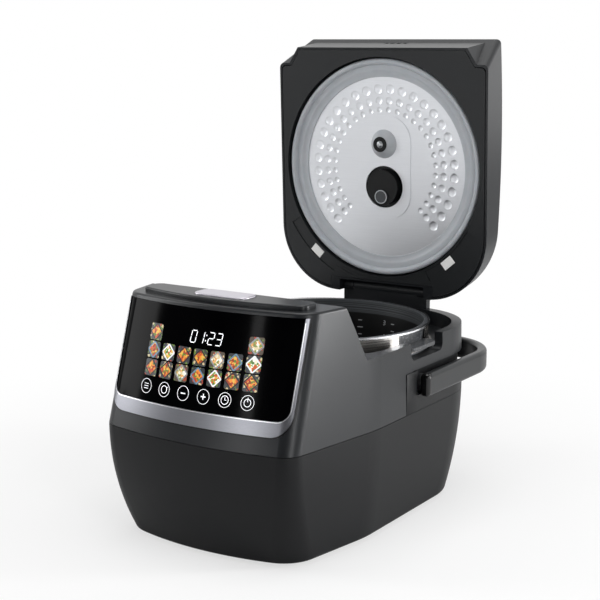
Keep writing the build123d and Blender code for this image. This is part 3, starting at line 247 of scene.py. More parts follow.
# Polished ABS: black with a clear, bright highlight
cap_gloss = gloss_black("polished_black_abs", 0.16, 0.5, 30)
coat(panel_acrylic, "touch_panel")
coat(cap_gloss, "handle_caps")
print("gloss blacks: 2")

# %% [markdown]
# ## Distance from the pot's axis
# Spun and turned pieces have marks that run round them. A point's distance from the pot's axis and its
# height say where it lies on such a piece, so this helper measures both once for every material that
# needs them.


# %% Round coordinates
def around_axis(tree):
    """A point's place, its distance from the pot's axis, and its height."""
    place = add_node(tree, "TexCoord").outputs["Object"]
    centred = add_node(tree, "Mapping", {"Location": (0, -pot_y, 0)}, {"Vector": place})
    parts = add_node(tree, "SeparateXYZ", links={"Vector": centred})
    flat = add_node(tree, "CombineXYZ", links={"X": parts.outputs["X"], "Y": parts.outputs["Y"]})
    radius = add_node(tree, "VectorMath", {"operation": "LENGTH"}, {0: flat})
    return place, radius.outputs["Value"], parts.outputs["Z"]


print("axis of the pot at", (0.0, round(pot_y, 4)))

# %% [markdown]
# ## Metals
# The trim is anodised aluminium, so finely brushed that no stroke shows. The ring under the bowl is
# brushed round its axis, and the inner lid is a satin pressing. Brushing is a noise that is stretched
# along the strokes: for the ring the noise reads the radius and the height, so the strokes go round.

# %% Metals
STROKE_STRETCH = (0.02, 1, 1)
STROKE_DEEP = 0.05


def straight(tree):
    """Places stretched along X, for straight strokes."""
    place = add_node(tree, "TexCoord")
    return add_node(tree, "Mapping", {"Scale": STROKE_STRETCH}, {"Vector": place.outputs["Object"]})


def round_pot(tree):
    """Places by radius and height alone, for strokes round the pot's axis."""
    _, radius, height = around_axis(tree)
    return add_node(tree, "CombineXYZ", links={"Y": radius, "Z": height})


def brushed_metal(name, colour, shade, roughness, stroke_mm, place=straight, bump=0.08, drift=0.06):
    """Metal with fine strokes, along X or round the axis of the pot."""
    material, tree, bsdf, strokes, _ = mottled(
        name, colour, shade, stroke_mm, 4.0, place=place, Metallic=1.0
    )
    textured(tree, bsdf, strokes, roughness, drift, bump, STROKE_DEEP)
    return material


# Anodised band: a soft mirror that turns the lamps into long gradients
trim_aluminium = brushed_metal("anodised_trim", "#8F9096", "#898A90", 0.33, 0.5, bump=0.0, drift=0.01)
# Painted highlight on the trim's inner edge: near white metal in a thin line
highlight_metal = brushed_metal("diamond_cut_edge", "#F2F2F4", "#E8E8EB", 0.3, 0.5, bump=0.0, drift=0.01)
# Anodised button with a hint of lilac in its silver
button_aluminium = brushed_metal("anodised_button", "#D0CCD4", "#C8C5CC", 0.34, 0.5, bump=0.0, drift=0.02)
# Pressed sheet, etched satin: bright, with wide soft shading and no strokes to see
plate_aluminium = brushed_metal(
    "satin_pressed_aluminium", "#E2E4E8", "#DEE0E4", 0.42, 0.8, bump=0.0, drift=0.02
)
# Steel ring brushed on a lathe: fine round strokes
ring_steel = brushed_metal("ring_brushed_steel", "#C9C6C2", "#96938F", 0.28, 0.6, round_pot, 0.1)
# Drawn sheet of the well: dull grey
well_steel = brushed_metal("well_galvanised_sheet", "#6E7073", "#5A5C5F", 0.45, 3.0, round_pot)
# Bright plated steel of pins, screws and springs
plain_steel = brushed_metal("plated_steel", "#B8BABD", "#A0A2A5", 0.3, 0.5)
# Cast plate, turned flat: coarse round tool marks
heater_alloy = brushed_metal("turned_heater_alloy", "#A9ABAE", "#919396", 0.4, 0.8, round_pot, 0.2)
# Plated brass of the mains pins
pin_brass = brushed_metal("plated_brass", "#C9B98A", "#B5A577", 0.3, 0.5)
coat(trim_aluminium, "panel_trim")
coat(button_aluminium, "open_button")
coat(plate_aluminium, "inner_plate")
coat(ring_steel, "rim_ring")
coat(well_steel, "pot_well")
coat(plain_steel, "lid_screws", "lid_stud", "base_screws", "hinge_pin", "hinge_spring", "latch_pin")
coat(plain_steel, "latch_spring", "sensor_spring", "sensor_guide", "thermal_fuse", "handle_pivots")
coat(heater_alloy, "heater_plate", "bowl_sensor")
coat(pin_brass, "inlet_pins")
print("metals: 9")

# %% [markdown]
# ## Silicone
# The gasket, the grommet and the seals are pressed silicone rubber. It is soft and dull, a little light
# passes into it, and fine dust gives it a cloudy tone that changes slowly over some millimetres.

# %% Silicone
BLOOM_MM = 14
BLOOM_ENDS = (0.35, 0.65)
RUBBER = {"Roughness": 0.42, "IOR": 1.41, "Subsurface_Weight": 0.05, "Subsurface_Scale": 1.0 * MM}


def silicone(name, colour, shade):
    """Rubber with a soft sheen and a slow cloud in its colour."""
    return mottled(name, colour, shade, BLOOM_MM, ends=BLOOM_ENDS, **RUBBER)[0]


# Light grey rubber: soft edges and a broad, quiet shine
grey_silicone = silicone("grey_silicone", "#B0B4B9", "#ABAFB4")
# Softer grey rubber of the grommet
pale_silicone = silicone("pale_silicone", "#A9ACB0", "#A3A6AA")
# Dark rubber of the steam disc
dark_silicone = silicone("dark_silicone", "#45474A", "#404245")
coat(grey_silicone, "valve_seal")
coat(dark_silicone, "steam_disc")
coat(pale_silicone, "grommet")
print("silicones: 3")

# %% [markdown]
# ## The bowl
# The bowl is pressed aluminium. Its inside has a smooth black non-stick coat, lighter grey in a band under
# the rim, its outside a grey coat with fine light specks, and its rim is turned bright after coating. One
# material covers the whole piece: the distance from the pot's axis and the height say which of these
# surfaces a point is on.

# %% Bowl coating
SPECK_MM = 2.6
TURNING_MM = 1.2
RIM_BRIGHT_R = 117.6
RIM_BRIGHT_DEEP = 2.4
BAND_DEEP = 15.0
WALL_LEAN_FROM = 22.0
WALL_R_LOW = 110.7
WALL_R_HIGH = 114.7
COAT_ROUGH = 0.36
RIM_ROUGH = 0.16


def bowl_coating():
    """Black inside with a band, specked outside, bright rim."""
    material, tree, bsdf = new_material("speckled_non_stick", Coat_Weight=0.15, Coat_Roughness=0.25)
    place, radius, height = around_axis(tree)
    specks = add_node(tree, "TexVoronoi", {"Scale": 1 / (SPECK_MM * MM)}, {"Vector": place})
    turned = add_node(tree, "CombineXYZ", links={"Y": radius, "Z": height})
    strokes = add_node(
        tree, "TexNoise", {"Scale": 1 / (TURNING_MM * MM), "Detail": 3.0}, {"Vector": turned}
    )
    # The colours of the inside, the band, the outside and the rim
    tones = []
    for pattern, stops in (
        (strokes, [(0.3, "#070708"), (0.7, "#0C0C0D")]),
        (strokes, [(0.35, "#2A2C2E"), (0.65, "#54575A")]),
        (specks.outputs["Distance"], [(0.0, "#85888C"), (0.3, "#3A3C3F"), (1.0, "#26282A")]),
        (strokes, [(0.3, "#E2E3E6"), (0.7, "#F0F1F3")]),
    ):
        tones.append(add_node(tree, "ValToRGB", links={"Fac": pattern}, stops=stops))
    # The wall leans out over its height, so the inside is nearer the axis than a sloping line
    lean = add_node(
        tree,
        "MapRange",
        {
            "From Min": bowl_low.z + WALL_LEAN_FROM * MM,
            "From Max": bowl_high.z,
            "To Min": WALL_R_LOW * MM,
            "To Max": WALL_R_HIGH * MM,
        },
        {"Value": height},
    )
    beyond = add_node(tree, "Math", {"operation": "GREATER_THAN"}, {0: radius, 1: lean})
    in_band, at_top, far_out = (
        add_node(tree, "Math", {"operation": "GREATER_THAN", 1: limit}, {0: value})
        for value, limit in (
            (height, bowl_high.z - BAND_DEEP * MM),
            (height, bowl_high.z - RIM_BRIGHT_DEEP * MM),
            (radius, RIM_BRIGHT_R * MM),
        )
    )
    rim = add_node(tree, "Math", {"operation": "MULTIPLY"}, {0: at_top, 1: far_out})
    colour = tones[0]
    for share, over in zip((in_band, beyond, rim), tones[1:]):
        layer = add_node(tree, "Mix", {"data_type": "RGBA"}, {"Factor": share, 6: colour, 7: over})
        colour = layer.outputs[2]
    rough = add_node(tree, "MapRange", {"To Min": COAT_ROUGH, "To Max": RIM_ROUGH}, {"Value": rim})
    feed(tree, bsdf, {"Base Color": colour, "Metallic": rim, "Roughness": rough})
    return material


coat(bowl_coating(), "inner_bowl")
print("bowl coated, rim at z =", round(bowl_high.z, 4))

# %% [markdown]
# ## Circuit boards
# The boards are glass fibre with a green solder lacquer. They are hidden in use, so the lacquer only needs
# its colour and the weave of the cloth under it.

# %% Boards
WEAVE_MM = 1.2


def board_lacquer():
    """Green lacquer over a woven cloth: a wet gloss with a faint weave under it."""
    material, tree, bsdf = new_material("green_lacquered_board", Roughness=0.3, IOR=1.5)
    place = add_node(tree, "TexCoord")
    weave = add_node(
        tree,
        "TexWave",
        {"Scale": 1 / (WEAVE_MM * MM), "Distortion": 1.0},
        {"Vector": place.outputs["Object"]},
    )
    greens = [(0.0, "#14502E"), (1.0, "#1B6339")]
    tone = add_node(tree, "ValToRGB", links={"Fac": weave.outputs["Fac"]}, stops=greens)
    feed(tree, bsdf, {"Base Color": tone})
    return material


coat(board_lacquer(), "power_board", "display_board")
print("boards lacquered: 2")

# %% [markdown]
# ## Tools for modelling
# A few steps come back for every piece: make one object active, move its place into its mesh, work in edit
# mode, apply a modifier, join pieces, and give the finished piece its material and the body that it rides
# on.

# %% Modelling tools
MERGE_NEAR = 0.001


def active_only(obj):
    """Selects one object and makes it active."""
    bpy.ops.object.select_all(action="DESELECT")
    obj.select_set(True)
    bpy.context.view_layer.objects.active = obj


def settle(obj):
    """Moves an object's place, turn and scale into its mesh."""
    active_only(obj)
    bpy.ops.object.transform_apply(location=True, rotation=True, scale=True)
    return obj


def named(obj, name):
    """Gives an object and its mesh one name."""
    obj.name = name
    obj.data.name = name
    return obj


def edit_all(obj):
    """Goes to edit mode with the whole of an object selected."""
    active_only(obj)
    bpy.ops.object.mode_set(mode="EDIT")
    bpy.ops.mesh.select_all(action="SELECT")


def leave_edit(obj):
    """Goes back to object mode."""
    bpy.ops.object.mode_set(mode="OBJECT")
    return obj


def pick(obj, kind, chosen):
    """Goes to edit mode with only the vertices, edges or faces for which chosen says yes."""
    active_only(obj)
    bpy.ops.object.mode_set(mode="EDIT")
    bpy.ops.mesh.select_mode(type={"vertices": "VERT", "edges": "EDGE", "polygons": "FACE"}[kind])
    bpy.ops.mesh.select_all(action="DESELECT")
    bpy.ops.object.mode_set(mode="OBJECT")
    for part in getattr(obj.data, kind):
        part.select = chosen(part)
    bpy.ops.object.mode_set(mode="EDIT")


def draw_up(rise):
    """Extrudes what is selected straight up by some millimetres, or down if the rise is negative."""
    bpy.ops.mesh.extrude_region_move(TRANSFORM_OT_translate={"value": (0, 0, rise * MM)})


def close_up(obj):
    """Merges doubles, turns the faces outwards and leaves edit mode."""
    edit_all(obj)
    bpy.ops.mesh.remove_doubles(threshold=MERGE_NEAR * MM)
    bpy.ops.mesh.normals_make_consistent(inside=False)
    return leave_edit(obj)


def modified(obj, kind, **settings):
    """Applies one modifier with its settings."""
    active_only(obj)
    modifier = obj.modifiers.new(kind, kind)
    for key, value in settings.items():
        setattr(modifier, key, value)
    bpy.ops.object.modifier_apply(modifier=modifier.name)
    return obj


def joined(pieces, name):
    """Joins pieces into one object with a name."""
    active_only(pieces[0])
    for piece in pieces:
        piece.select_set(True)
    bpy.ops.object.join()
    return named(bpy.context.object, name)


def swung(obj):
    """Swings a piece that was made on the shut lid to where the open lid is."""
    obj.matrix_world = swing_open @ obj.matrix_world
    return settle(obj)


def paint(obj, material, body):
    """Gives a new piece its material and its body."""
    obj.data.materials.clear()
    obj.data.materials.append(material)
    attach(obj, body)
    print(obj.name, "has", len(obj.data.polygons), "faces and rides on", body)


print("modelling tools ready, doubles merge within", MERGE_NEAR, "mm")

# %% [markdown]
# ## Tools for flat graphics
# The display, the keys and the marks are printed or lit, so they are thin shapes that follow a curved
# face. Each starts as a flat primitive in front of that face, is shaped in edit mode, and is then pressed
# onto the face with a Shrinkwrap modifier along Y and given a thickness of a fifth of a millimetre.
# Joining what belongs together first keeps that to one press for each group.

# %% Flat shapes
PANEL_SHEET_Y = -0.32
UPRIGHT = (math.radians(90), 0, 0)
BAR_ROUND = 0.4
INK_THICK = 0.2
INK_LIFT = 0.05


def flat_bar(x, z, length, width, angle=0.0, sheet_y=PANEL_SHEET_Y):
    """Rounded bar in front of a face, turned by an angle in degrees. Sizes are in millimetres."""
    bpy.ops.mesh.primitive_plane_add(size=1, location=(x * MM, sheet_y, z * MM))
    bar = bpy.context.object
    bar.scale = (length * MM, width * MM, 1)
    bar.rotation_euler = (math.radians(90), math.radians(-angle), 0)
    edit_all(settle(bar))
    bpy.ops.mesh.bevel(offset=BAR_ROUND * width * MM, segments=4, affect="VERTICES")
    return leave_edit(bar)


def flat_ring(centre, outer, line, steps=48, rotation=UPRIGHT):
    """Flat ring: a disc whose middle is inset and deleted."""
    bpy.ops.mesh.primitive_circle_add(
        vertices=steps, radius=outer * MM, fill_type="NGON", location=centre, rotation=rotation
    )
    ring = settle(bpy.context.object)
    edit_all(ring)
    bpy.ops.mesh.inset(thickness=line * MM)
    bpy.ops.mesh.delete(type="FACE")
    return leave_edit(ring)


def press_on(obj, target):
    """Presses a flat object onto a solid along Y and gives it a thickness."""
    modified(
        obj,
        "SHRINKWRAP",
        target=nodes[target],
        wrap_method="PROJECT",
        use_project_y=True,
        use_negative_direction=True,
        offset=INK_LIFT * MM,
    )
    return close_up(modified(obj, "SOLIDIFY", thickness=INK_THICK * MM, offset=0.0))


print("graphics start at y =", PANEL_SHEET_Y)

# %% [markdown]
# ## Light behind the panel
# Lit graphics glow evenly, so they take some of their colour as emission. The white of the digits and keys
# is a cool white with a faint unevenness from the diffuser behind it. The marks in the bowl are a pale
# print on the dark coat, with no light of their own.

# %% Prints
CLOUD_MM = 8


def pale_print(name, colour, shade, glow):
    """Pale ink with a slow cloud in its tone, and the share of its colour that it gives as light."""
    material, tree, bsdf, _, tone = mottled(
        name, colour, shade, CLOUD_MM, Roughness=0.4, Emission_Strength=glow
    )
    feed(tree, bsdf, {"Emission Color": tone})
    return material


# Lit symbols: an even cool white
white_print = pale_print("lit_white_print", "#FBFBFF", "#E3E4EA", 0.7)
# Ink in the bowl: a quiet grey
grey_print = pale_print("grey_mark_print", "#B9BBBE", "#A6A8AB", 0.0)
print("prints: 2")

# %% [markdown]
# ## Clock
# The clock is a seven segment display. One digit is a set of bars, and a small table says which bars each
# figure lights. The digits lean a little to the right, as such displays do. The same bars, made smaller,
# will number the marks in the bowl.

# %% Clock digits
SEGMENTS = {"0": "abcdef", "1": "bc", "2": "abged", "3": "abgcd"}
DIGIT_LEAN = 0.14
# A bar is shorter than its stretch by this many line widths, so that the bars don't touch
LEVEL_GAP = 1.25
UPRIGHT_GAP = 0.8


def digit(figure, x, z, high, wide, line, sheet_y=PANEL_SHEET_Y):
    """The lit bars of one figure, by their usual letters from a at the top round to g in the middle."""
    half = high / 2
    turn = 90 - math.degrees(math.atan(DIGIT_LEAN))
    made = []
    for letter in SEGMENTS[figure]:
        if letter in "agd":
            rise = {"a": half, "g": 0.0, "d": -half}[letter]
            spot = (x + rise * DIGIT_LEAN, z + rise, wide - LEVEL_GAP * line, line, 0.0)
        else:
            side = wide / 2 if letter in "bc" else -wide / 2
            rise = half / 2 if letter in "bf" else -half / 2
            spot = (x + side + rise * DIGIT_LEAN, z + rise, half - UPRIGHT_GAP * line, line, turn)
        made.append(flat_bar(*spot, sheet_y=sheet_y))
    return made


CLOCK_X = 6.0
CLOCK_Z = 223.6
DIGIT_STEPS = (-15.0, -5.6, 6.4, 15.8)
DIGIT_HIGH = 11.5
DIGIT_WIDE = 6.2
DIGIT_LINE = 0.9
DOT_X = CLOCK_X + 0.4
DOT_RISE = 2.6
DOT_SIZE = 1.3
bars = []
for figure, step in zip("0123", DIGIT_STEPS):
    bars += digit(figure, CLOCK_X + step, CLOCK_Z, DIGIT_HIGH, DIGIT_WIDE, DIGIT_LINE)
for rise in (-DOT_RISE, DOT_RISE):
    bars.append(flat_bar(DOT_X + rise * DIGIT_LEAN, CLOCK_Z + rise, DOT_SIZE, DOT_SIZE))
clock_digits = press_on(joined(bars, "clock_digits"), "touch_panel")
paint(clock_digits, white_print, "housing")

# %% [markdown]
# ## Touch keys
# The keys are printed rings with a simple sign in each: a list, a return, less, more, a timer and a power
# sign. A sign is made of a few bars and rings, so two short tables hold them, by key and by how far they
# lie from its middle.

# %% Touch keys
KEY_COUNT = 6
KEY_Z = 168.4
KEY_R = 7.2
KEY_LINE = 0.42
KEY_FIRST_X = -61.5
KEY_PITCH = 25.0
THIN = 0.6
BOLD = 1.1
LONG = 5.8
# Key, radius and line
SIGN_RINGS = [(key, KEY_R, KEY_LINE) for key in range(KEY_COUNT)]
SIGN_RINGS += [(1, 3.9, THIN), (4, 4.3, THIN), (5, 3.9, THIN)]
# Key, place to the right and up, length, line and angle
SIGN_BARS = [(0, 0.0, rise, LONG, THIN, 0) for rise in (-2.3, 0.0, 2.3)]
SIGN_BARS += [(2, 0.0, 0.0, LONG, BOLD, 0), (3, 0.0, 0.0, LONG, BOLD, 0), (3, 0.0, 0.0, LONG, BOLD, 90)]
SIGN_BARS += [(1, 3.6, 2.0, 2.6, THIN, 60), (4, 0.0, 1.3, 2.6, THIN, 90)]
SIGN_BARS += [(4, 0.9, 0.0, 2.0, THIN, 0), (5, 0.0, 3.0, 4.2, THIN, 90)]
key_x = [KEY_FIRST_X + i * KEY_PITCH for i in range(KEY_COUNT)]
key_parts = []
for key, radius, line in SIGN_RINGS:
    key_parts.append(flat_ring((key_x[key] * MM, PANEL_SHEET_Y, KEY_Z * MM), radius, line))
for key, right, up, length, line, angle in SIGN_BARS:
    key_parts.append(flat_bar(key_x[key] + right, KEY_Z + up, length, line, angle))
touch_keys = press_on(joined(key_parts, "touch_keys"), "touch_panel")
paint(touch_keys, white_print, "housing")

# %% [markdown]
# ## Colours of the menu tiles
# The menu is a set of small coloured tiles. Each is a plain diamond with a border on a dark ground, filled
# with a mosaic of small warm cells, because a lit menu is lively and a flat colour would look dead. The
# diamond is drawn from the tile's own UV map, and the cells read the object's place, so no two tiles are
# the same.

# %% Tile colours
CELL_MM = 2.2
DIAMOND_SLOPE = (0.8, 0.8, 0)
DIAMOND_EDGE = 0.44
DIAMOND_FILL = 0.34


def tile_print(name, ground, border, fills):
    """A diamond with a mosaic filling on a plain ground with a few flecks, lit from behind."""
    material, tree, bsdf = new_material(name, Roughness=0.35, Emission_Strength=0.3)
    place = add_node(tree, "TexCoord")
    centred = add_node(tree, "Mapping", {"Location": (-0.5, -0.5, 0)}, {"Vector": place.outputs["UV"]})
    folded = add_node(tree, "VectorMath", {"operation": "ABSOLUTE"}, {0: centred})
    away = add_node(tree, "VectorMath", {"operation": "DOT_PRODUCT", 1: DIAMOND_SLOPE}, {0: folded})
    cells = add_node(tree, "TexVoronoi", {"Scale": 1 / (CELL_MM * MM)}, {"Vector": place.outputs["Object"]})
    chance = add_node(tree, "SeparateColor", links={"Color": cells.outputs["Color"]})
    # Each cell takes one of the fills, and now and then a fleck, by chance
    shares = [(i / len(fills), fill) for i, fill in enumerate(fills)]
    filling = add_node(tree, "ValToRGB", links={"Fac": chance.outputs["Red"]}, stops=shares)
    shares = [(0.0, ground), (0.72, "#5E7A2B"), (0.84, "#A33A22"), (0.92, "#C9B98F")]
    flecks = add_node(tree, "ValToRGB", links={"Fac": chance.outputs["Green"]}, stops=shares)
    for ramp in (filling, flecks):
        ramp.color_ramp.interpolation = "CONSTANT"
    shares = list(zip((0.0, 1.0), border))
    rim = add_node(tree, "ValToRGB", links={"Fac": chance.outputs["Blue"]}, stops=shares)
    colour = flecks
    for limit, inner in ((DIAMOND_EDGE, rim), (DIAMOND_FILL, filling)):
        within = add_node(tree, "Math", {"operation": "LESS_THAN", 1: limit}, {0: away.outputs["Value"]})
        layer = add_node(tree, "Mix", {"data_type": "RGBA"}, {"Factor": within, 6: colour, 7: inner})
        colour = layer.outputs[2]
    feed(tree, bsdf, {"Base Color": colour, "Emission Color": colour})
    return material


WARM = ["#C8541B", "#E08A2C", "#8E2F16", "#D9B24A", "#5E7A2B", "#B23A1E"]
FRESH = ["#7FA23A", "#E7E0CB", "#D9B24A", "#4F7A33", "#C8541B", "#F2EEE2"]
PALE = ["#E9E2D0", "#D8C9A0", "#F3F0E8", "#B98A4C", "#E2A65A", "#7C8F45"]
# Lit prints behind acrylic: bright, saturated and matt
tile_prints = [
    tile_print("tile_dark_border", "#33353A", ("#17181B", "#202125"), WARM),
    tile_print("tile_white_border", "#2C2E33", ("#D9DBDF", "#EDEEF0"), FRESH),
    tile_print("tile_blue_border", "#26282E", ("#52748F", "#6387A4"), WARM),
    tile_print("tile_grey_border", "#4E4236", ("#7F8287", "#94979C"), PALE),
]
print("tile prints:", len(tile_prints))

# %% [markdown]
# ## Menu tiles
# The tiles stand in two rows of seven, with one more on each side of the clock. Each is a grid plane, so
# that it has points enough to follow the panel, and its four corners are rounded by a bevel.

# %% Tile shapes
TILE_SIZE = 16.2
TILE_PITCH = 20.4
TILE_CORNER = 2.0
TILE_CENTRE_X = 2.5
TILES_ASIDE = 3
TOP_TILES_Z = 221.9
ROWS_Z = (204.4, 186.9)
tile_spots = [(TILE_CENTRE_X + side * TILES_ASIDE * TILE_PITCH, TOP_TILES_Z) for side in (-1, 1)]
for row_z in ROWS_Z:
    for i in range(-TILES_ASIDE, TILES_ASIDE + 1):
        tile_spots.append((TILE_CENTRE_X + i * TILE_PITCH, row_z))


def menu_tile(x, z, number):
    """One rounded tile in front of the panel."""
    bpy.ops.mesh.primitive_grid_add(
        x_subdivisions=4,
        y_subdivisions=4,
        size=TILE_SIZE * MM,
        location=(x * MM, PANEL_SHEET_Y, z * MM),
        rotation=UPRIGHT,
    )
    tile = settle(bpy.context.object)
    reach = 0.99 * TILE_SIZE / 2 * MM
    pick(tile, "vertices", lambda v: min(abs(v.co.x - x * MM), abs(v.co.z - z * MM)) > reach)
    bpy.ops.mesh.bevel(offset=TILE_CORNER * MM, segments=3, affect="VERTICES")
    return named(leave_edit(tile), f"menu_tile_{number:02d}")


for number, (x, z) in enumerate(tile_spots):
    tile = press_on(menu_tile(x, z, number), "touch_panel")
    # Steps of three, with a shift after every fifth tile, keep like tiles apart
    choice = (number * 3 + number // 5) % len(tile_prints)
    paint(tile, tile_prints[choice], "housing")

# %% [markdown]
# ## Painted highlight and shadow gap of the trim
# A thin band of near white metal along the trim's inner edge is a painted highlight, and a narrow black
# band round the trim, where it sits in the housing, is painted shadow in the gap. Both are thin bands that
# follow the panel's outline: a plane with round lower corners, inset by the width of the line, of which
# only the line is kept and its top is cut away.

# %% Trim lines
PANEL_CORNER = 12.0
# Width of the painted highlight along the trim's inner edge
HIGHLIGHT_LINE = 0.8
TRIM_CORNER = 20.0
# Width of the painted shadow in the gap round the trim
GAP_SHADE_LINE = 1.0
LINE_GAP = 0.5
LINE_TOP = 246.0
LINE_CUTS = 24


def outline_band(name, box, corner, line):
    """U-shaped band in front of the panel, round a box's sides and bottom, with round corners."""
    reach = (LINE_GAP + line) * MM
    half = box[1].x + reach
    low = box[0].z - reach
    high = 2 * LINE_TOP * MM - low
    bpy.ops.mesh.primitive_plane_add(
        size=1, location=(0, PANEL_SHEET_Y, (low + high) / 2), rotation=UPRIGHT
    )
    band = bpy.context.object
    band.scale = (2 * half, high - low, 1)
    settle(band)
    pick(band, "vertices", lambda v: v.co.z < LINE_TOP * MM)
    bpy.ops.mesh.bevel(offset=(corner + line) * MM, segments=12, affect="VERTICES")
    bpy.ops.mesh.select_all(action="SELECT")
    bpy.ops.mesh.inset(thickness=line * MM)
    bpy.ops.mesh.delete(type="FACE")
    bpy.ops.mesh.select_all(action="SELECT")
    bpy.ops.mesh.bisect(plane_co=(0, 0, LINE_TOP * MM), plane_no=(0, 0, 1), clear_outer=True)
    # Cuts across the band give it points enough to follow the panel's curve
    for cut in range(1, LINE_CUTS):
        bpy.ops.mesh.select_all(action="SELECT")
        bpy.ops.mesh.bisect(plane_co=((2 * cut / LINE_CUTS - 1) * half, 0, 0), plane_no=(1, 0, 0))
    return named(leave_edit(band), name)


# Painted highlight: a thin band of near white metal along the trim's inner edge
edge_highlight = outline_band("trim_bright_edge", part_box("touch_panel"), PANEL_CORNER, HIGHLIGHT_LINE)
paint(press_on(edge_highlight, "panel_trim"), highlight_metal, "housing")
# Painted shadow: a thin black band in the gap between the trim and the housing
gap_shade = outline_band("trim_dark_joint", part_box("panel_trim"), TRIM_CORNER, GAP_SHADE_LINE)
paint(press_on(gap_shade, "upper_housing"), black_abs, "housing")

# %% [markdown]
# ## Marks in the bowl
# Level marks are printed on the far inner wall of the bowl: short bars with a plain number beside every
# other one. They start on a sheet inside the bowl and are pressed outwards onto the wall.

# %% Bowl marks
MARK_SHEET_Y = pot_y + 70 * MM
MARK_COUNT = 6
MARK_TOP_Z = 181.0
MARK_STEP = 8.5
MARK_LINE = 0.9
MARK_LONG = 5.0
MARK_LONGER = 2.0
LEFT_MARK_X = -17.0
RIGHT_MARK_X = 29.0
FIGURE_X = 16.0
FIGURE_HIGH = 5.0
FIGURE_WIDE = 3.0
marks = []
for level in range(MARK_COUNT):
    mark_z = MARK_TOP_Z - level * MARK_STEP
    left_long = MARK_LONG + MARK_LONGER * (level % 2)
    marks.append(flat_bar(LEFT_MARK_X, mark_z, left_long, MARK_LINE, sheet_y=MARK_SHEET_Y))
    marks.append(flat_bar(RIGHT_MARK_X, mark_z, MARK_LONG, MARK_LINE, sheet_y=MARK_SHEET_Y))
for level, figure in enumerate("321"):
    mark_z = MARK_TOP_Z - 2 * level * MARK_STEP
    marks += digit(figure, FIGURE_X, mark_z, FIGURE_HIGH, FIGURE_WIDE, MARK_LINE, MARK_SHEET_Y)
bowl_marks = press_on(joined(marks, "bowl_marks"), "inner_bowl")
paint(bowl_marks, grey_print, "bowl")

# %% [markdown]
# ## Gasket
# The gasket is a ring of soft silicone round the inner lid: a flat land that meets the bowl's rim, a round
# bead that hangs outside it, and a groove that grips the plate. It is drawn as a half section and spun
# round the pot's axis, as the real mould is turned, so the bead can be as round as the real one. It
# stands for the plain solid ring of the model.

# %% Gasket
GASKET_STEPS = 120
BEAD_R = 124.7
BEAD_Z = 203.6
BEAD_HALF = 3.3
BEAD_DROP = 3.1
BEAD_STEP = 20
gasket_section = [(106.5, 208.54), (106.9, 207.3), (111.6, 207.3)]
gasket_section += [(113.4, 205.9), (115.2, 205.35), (120.6, 205.35)]
for turn in range(180, 361, BEAD_STEP):
    around = math.radians(turn)
    gasket_section.append((BEAD_R + BEAD_HALF * math.cos(around), BEAD_Z + BEAD_DROP * math.sin(around)))
gasket_section += [(128.0, 210.9), (127.1, 211.8), (112.1, 211.8), (106.5, 210.66), (106.5, 209.66)]
gasket_section += [(109.3, 209.66), (109.3, 208.54)]


def spun_ring(name, section, steps):
    """Closed section in (radius, height) millimetres, spun round the pot's axis."""
    bpy.ops.mesh.primitive_circle_add(vertices=len(section), radius=1)
    ring = settle(bpy.context.object)
    for vertex, (radius, height) in zip(ring.data.vertices, section):
        vertex.co = (radius * MM, pot_y, height * MM)
    edit_all(ring)
    bpy.ops.mesh.spin(
        steps=steps, angle=math.tau, center=(0, pot_y, 0), axis=(0, 0, 1), use_auto_merge=True
    )
    close_up(leave_edit(ring))
    bpy.ops.object.shade_smooth_by_angle(angle=math.radians(40))
    return named(ring, name)


soft_gasket = swung(spun_ring("soft_gasket", gasket_section, GASKET_STEPS))
paint(soft_gasket, grey_silicone, "inner_lid")
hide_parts("lid_gasket")

# %% [markdown]
# ## Dents of the inner lid
# The inner lid has rows of pressed dents that gather the drops and let them fall back into the bowl. One
# dent's tool is a flattened sphere. It is copied round the plate in three rows, smaller towards the middle,
# and left out near the hinge, as in the real press. A Boolean modifier then cuts all of them from a copy of
# the plate, which stands for the plain one.

# %% Pressed dents
PLATE_Z = 208.6
DENT_COUNT = 28
DENT_STEP = 10.0
# The sphere's middle stays outside the plate by this many depths, so only its cap goes in
TOOL_OUT = 1.5
# At the plate's face such a sphere is four fifths as wide as in its middle
TOOL_WIDEN = 1.25
# Radius of the row, and radius and depth of its dents
DENT_ROWS = [(92.5, 5.6, 0.8), (79.0, 4.5, 0.75), (68.3, 3.3, 0.7)]


def dent_tool(radius, depth):
    """Flattened sphere whose cap makes a dent of a given radius and depth."""
    wide = TOOL_WIDEN * radius
    bpy.ops.mesh.primitive_uv_sphere_add(segments=32, ring_count=24, radius=wide * MM)
    tool = bpy.context.object
    tool.scale = (1, 1, (1 + TOOL_OUT) * depth / wide)
    return settle(tool)


def round_place(radius, angle, z):
    """A place at a radius and an angle in degrees round the pot's axis, on the shut lid."""
    turn = math.radians(angle)
    return (radius * MM * math.cos(turn), pot_y + radius * MM * math.sin(turn), z * MM)


tools = []
for row_radius, radius, depth in DENT_ROWS:
    first = dent_tool(radius, depth)
    for i in range(DENT_COUNT):
        angle = -90 + (i - (DENT_COUNT - 1) / 2) * DENT_STEP
        copy = first.copy()
        copy.data = first.data.copy()
        scene.collection.objects.link(copy)
        copy.location = round_place(row_radius, angle, PLATE_Z - TOOL_OUT * depth)
        tools.append(copy)
    bpy.data.objects.remove(first)
press_tools = swung(settle(joined(tools, "press_tools")))
dented_plate = bpy.data.objects.new("dented_plate", nodes["inner_plate"].data.copy())
dented_plate.matrix_world = nodes["inner_plate"].matrix_world
scene.collection.objects.link(dented_plate)
settle(dented_plate)
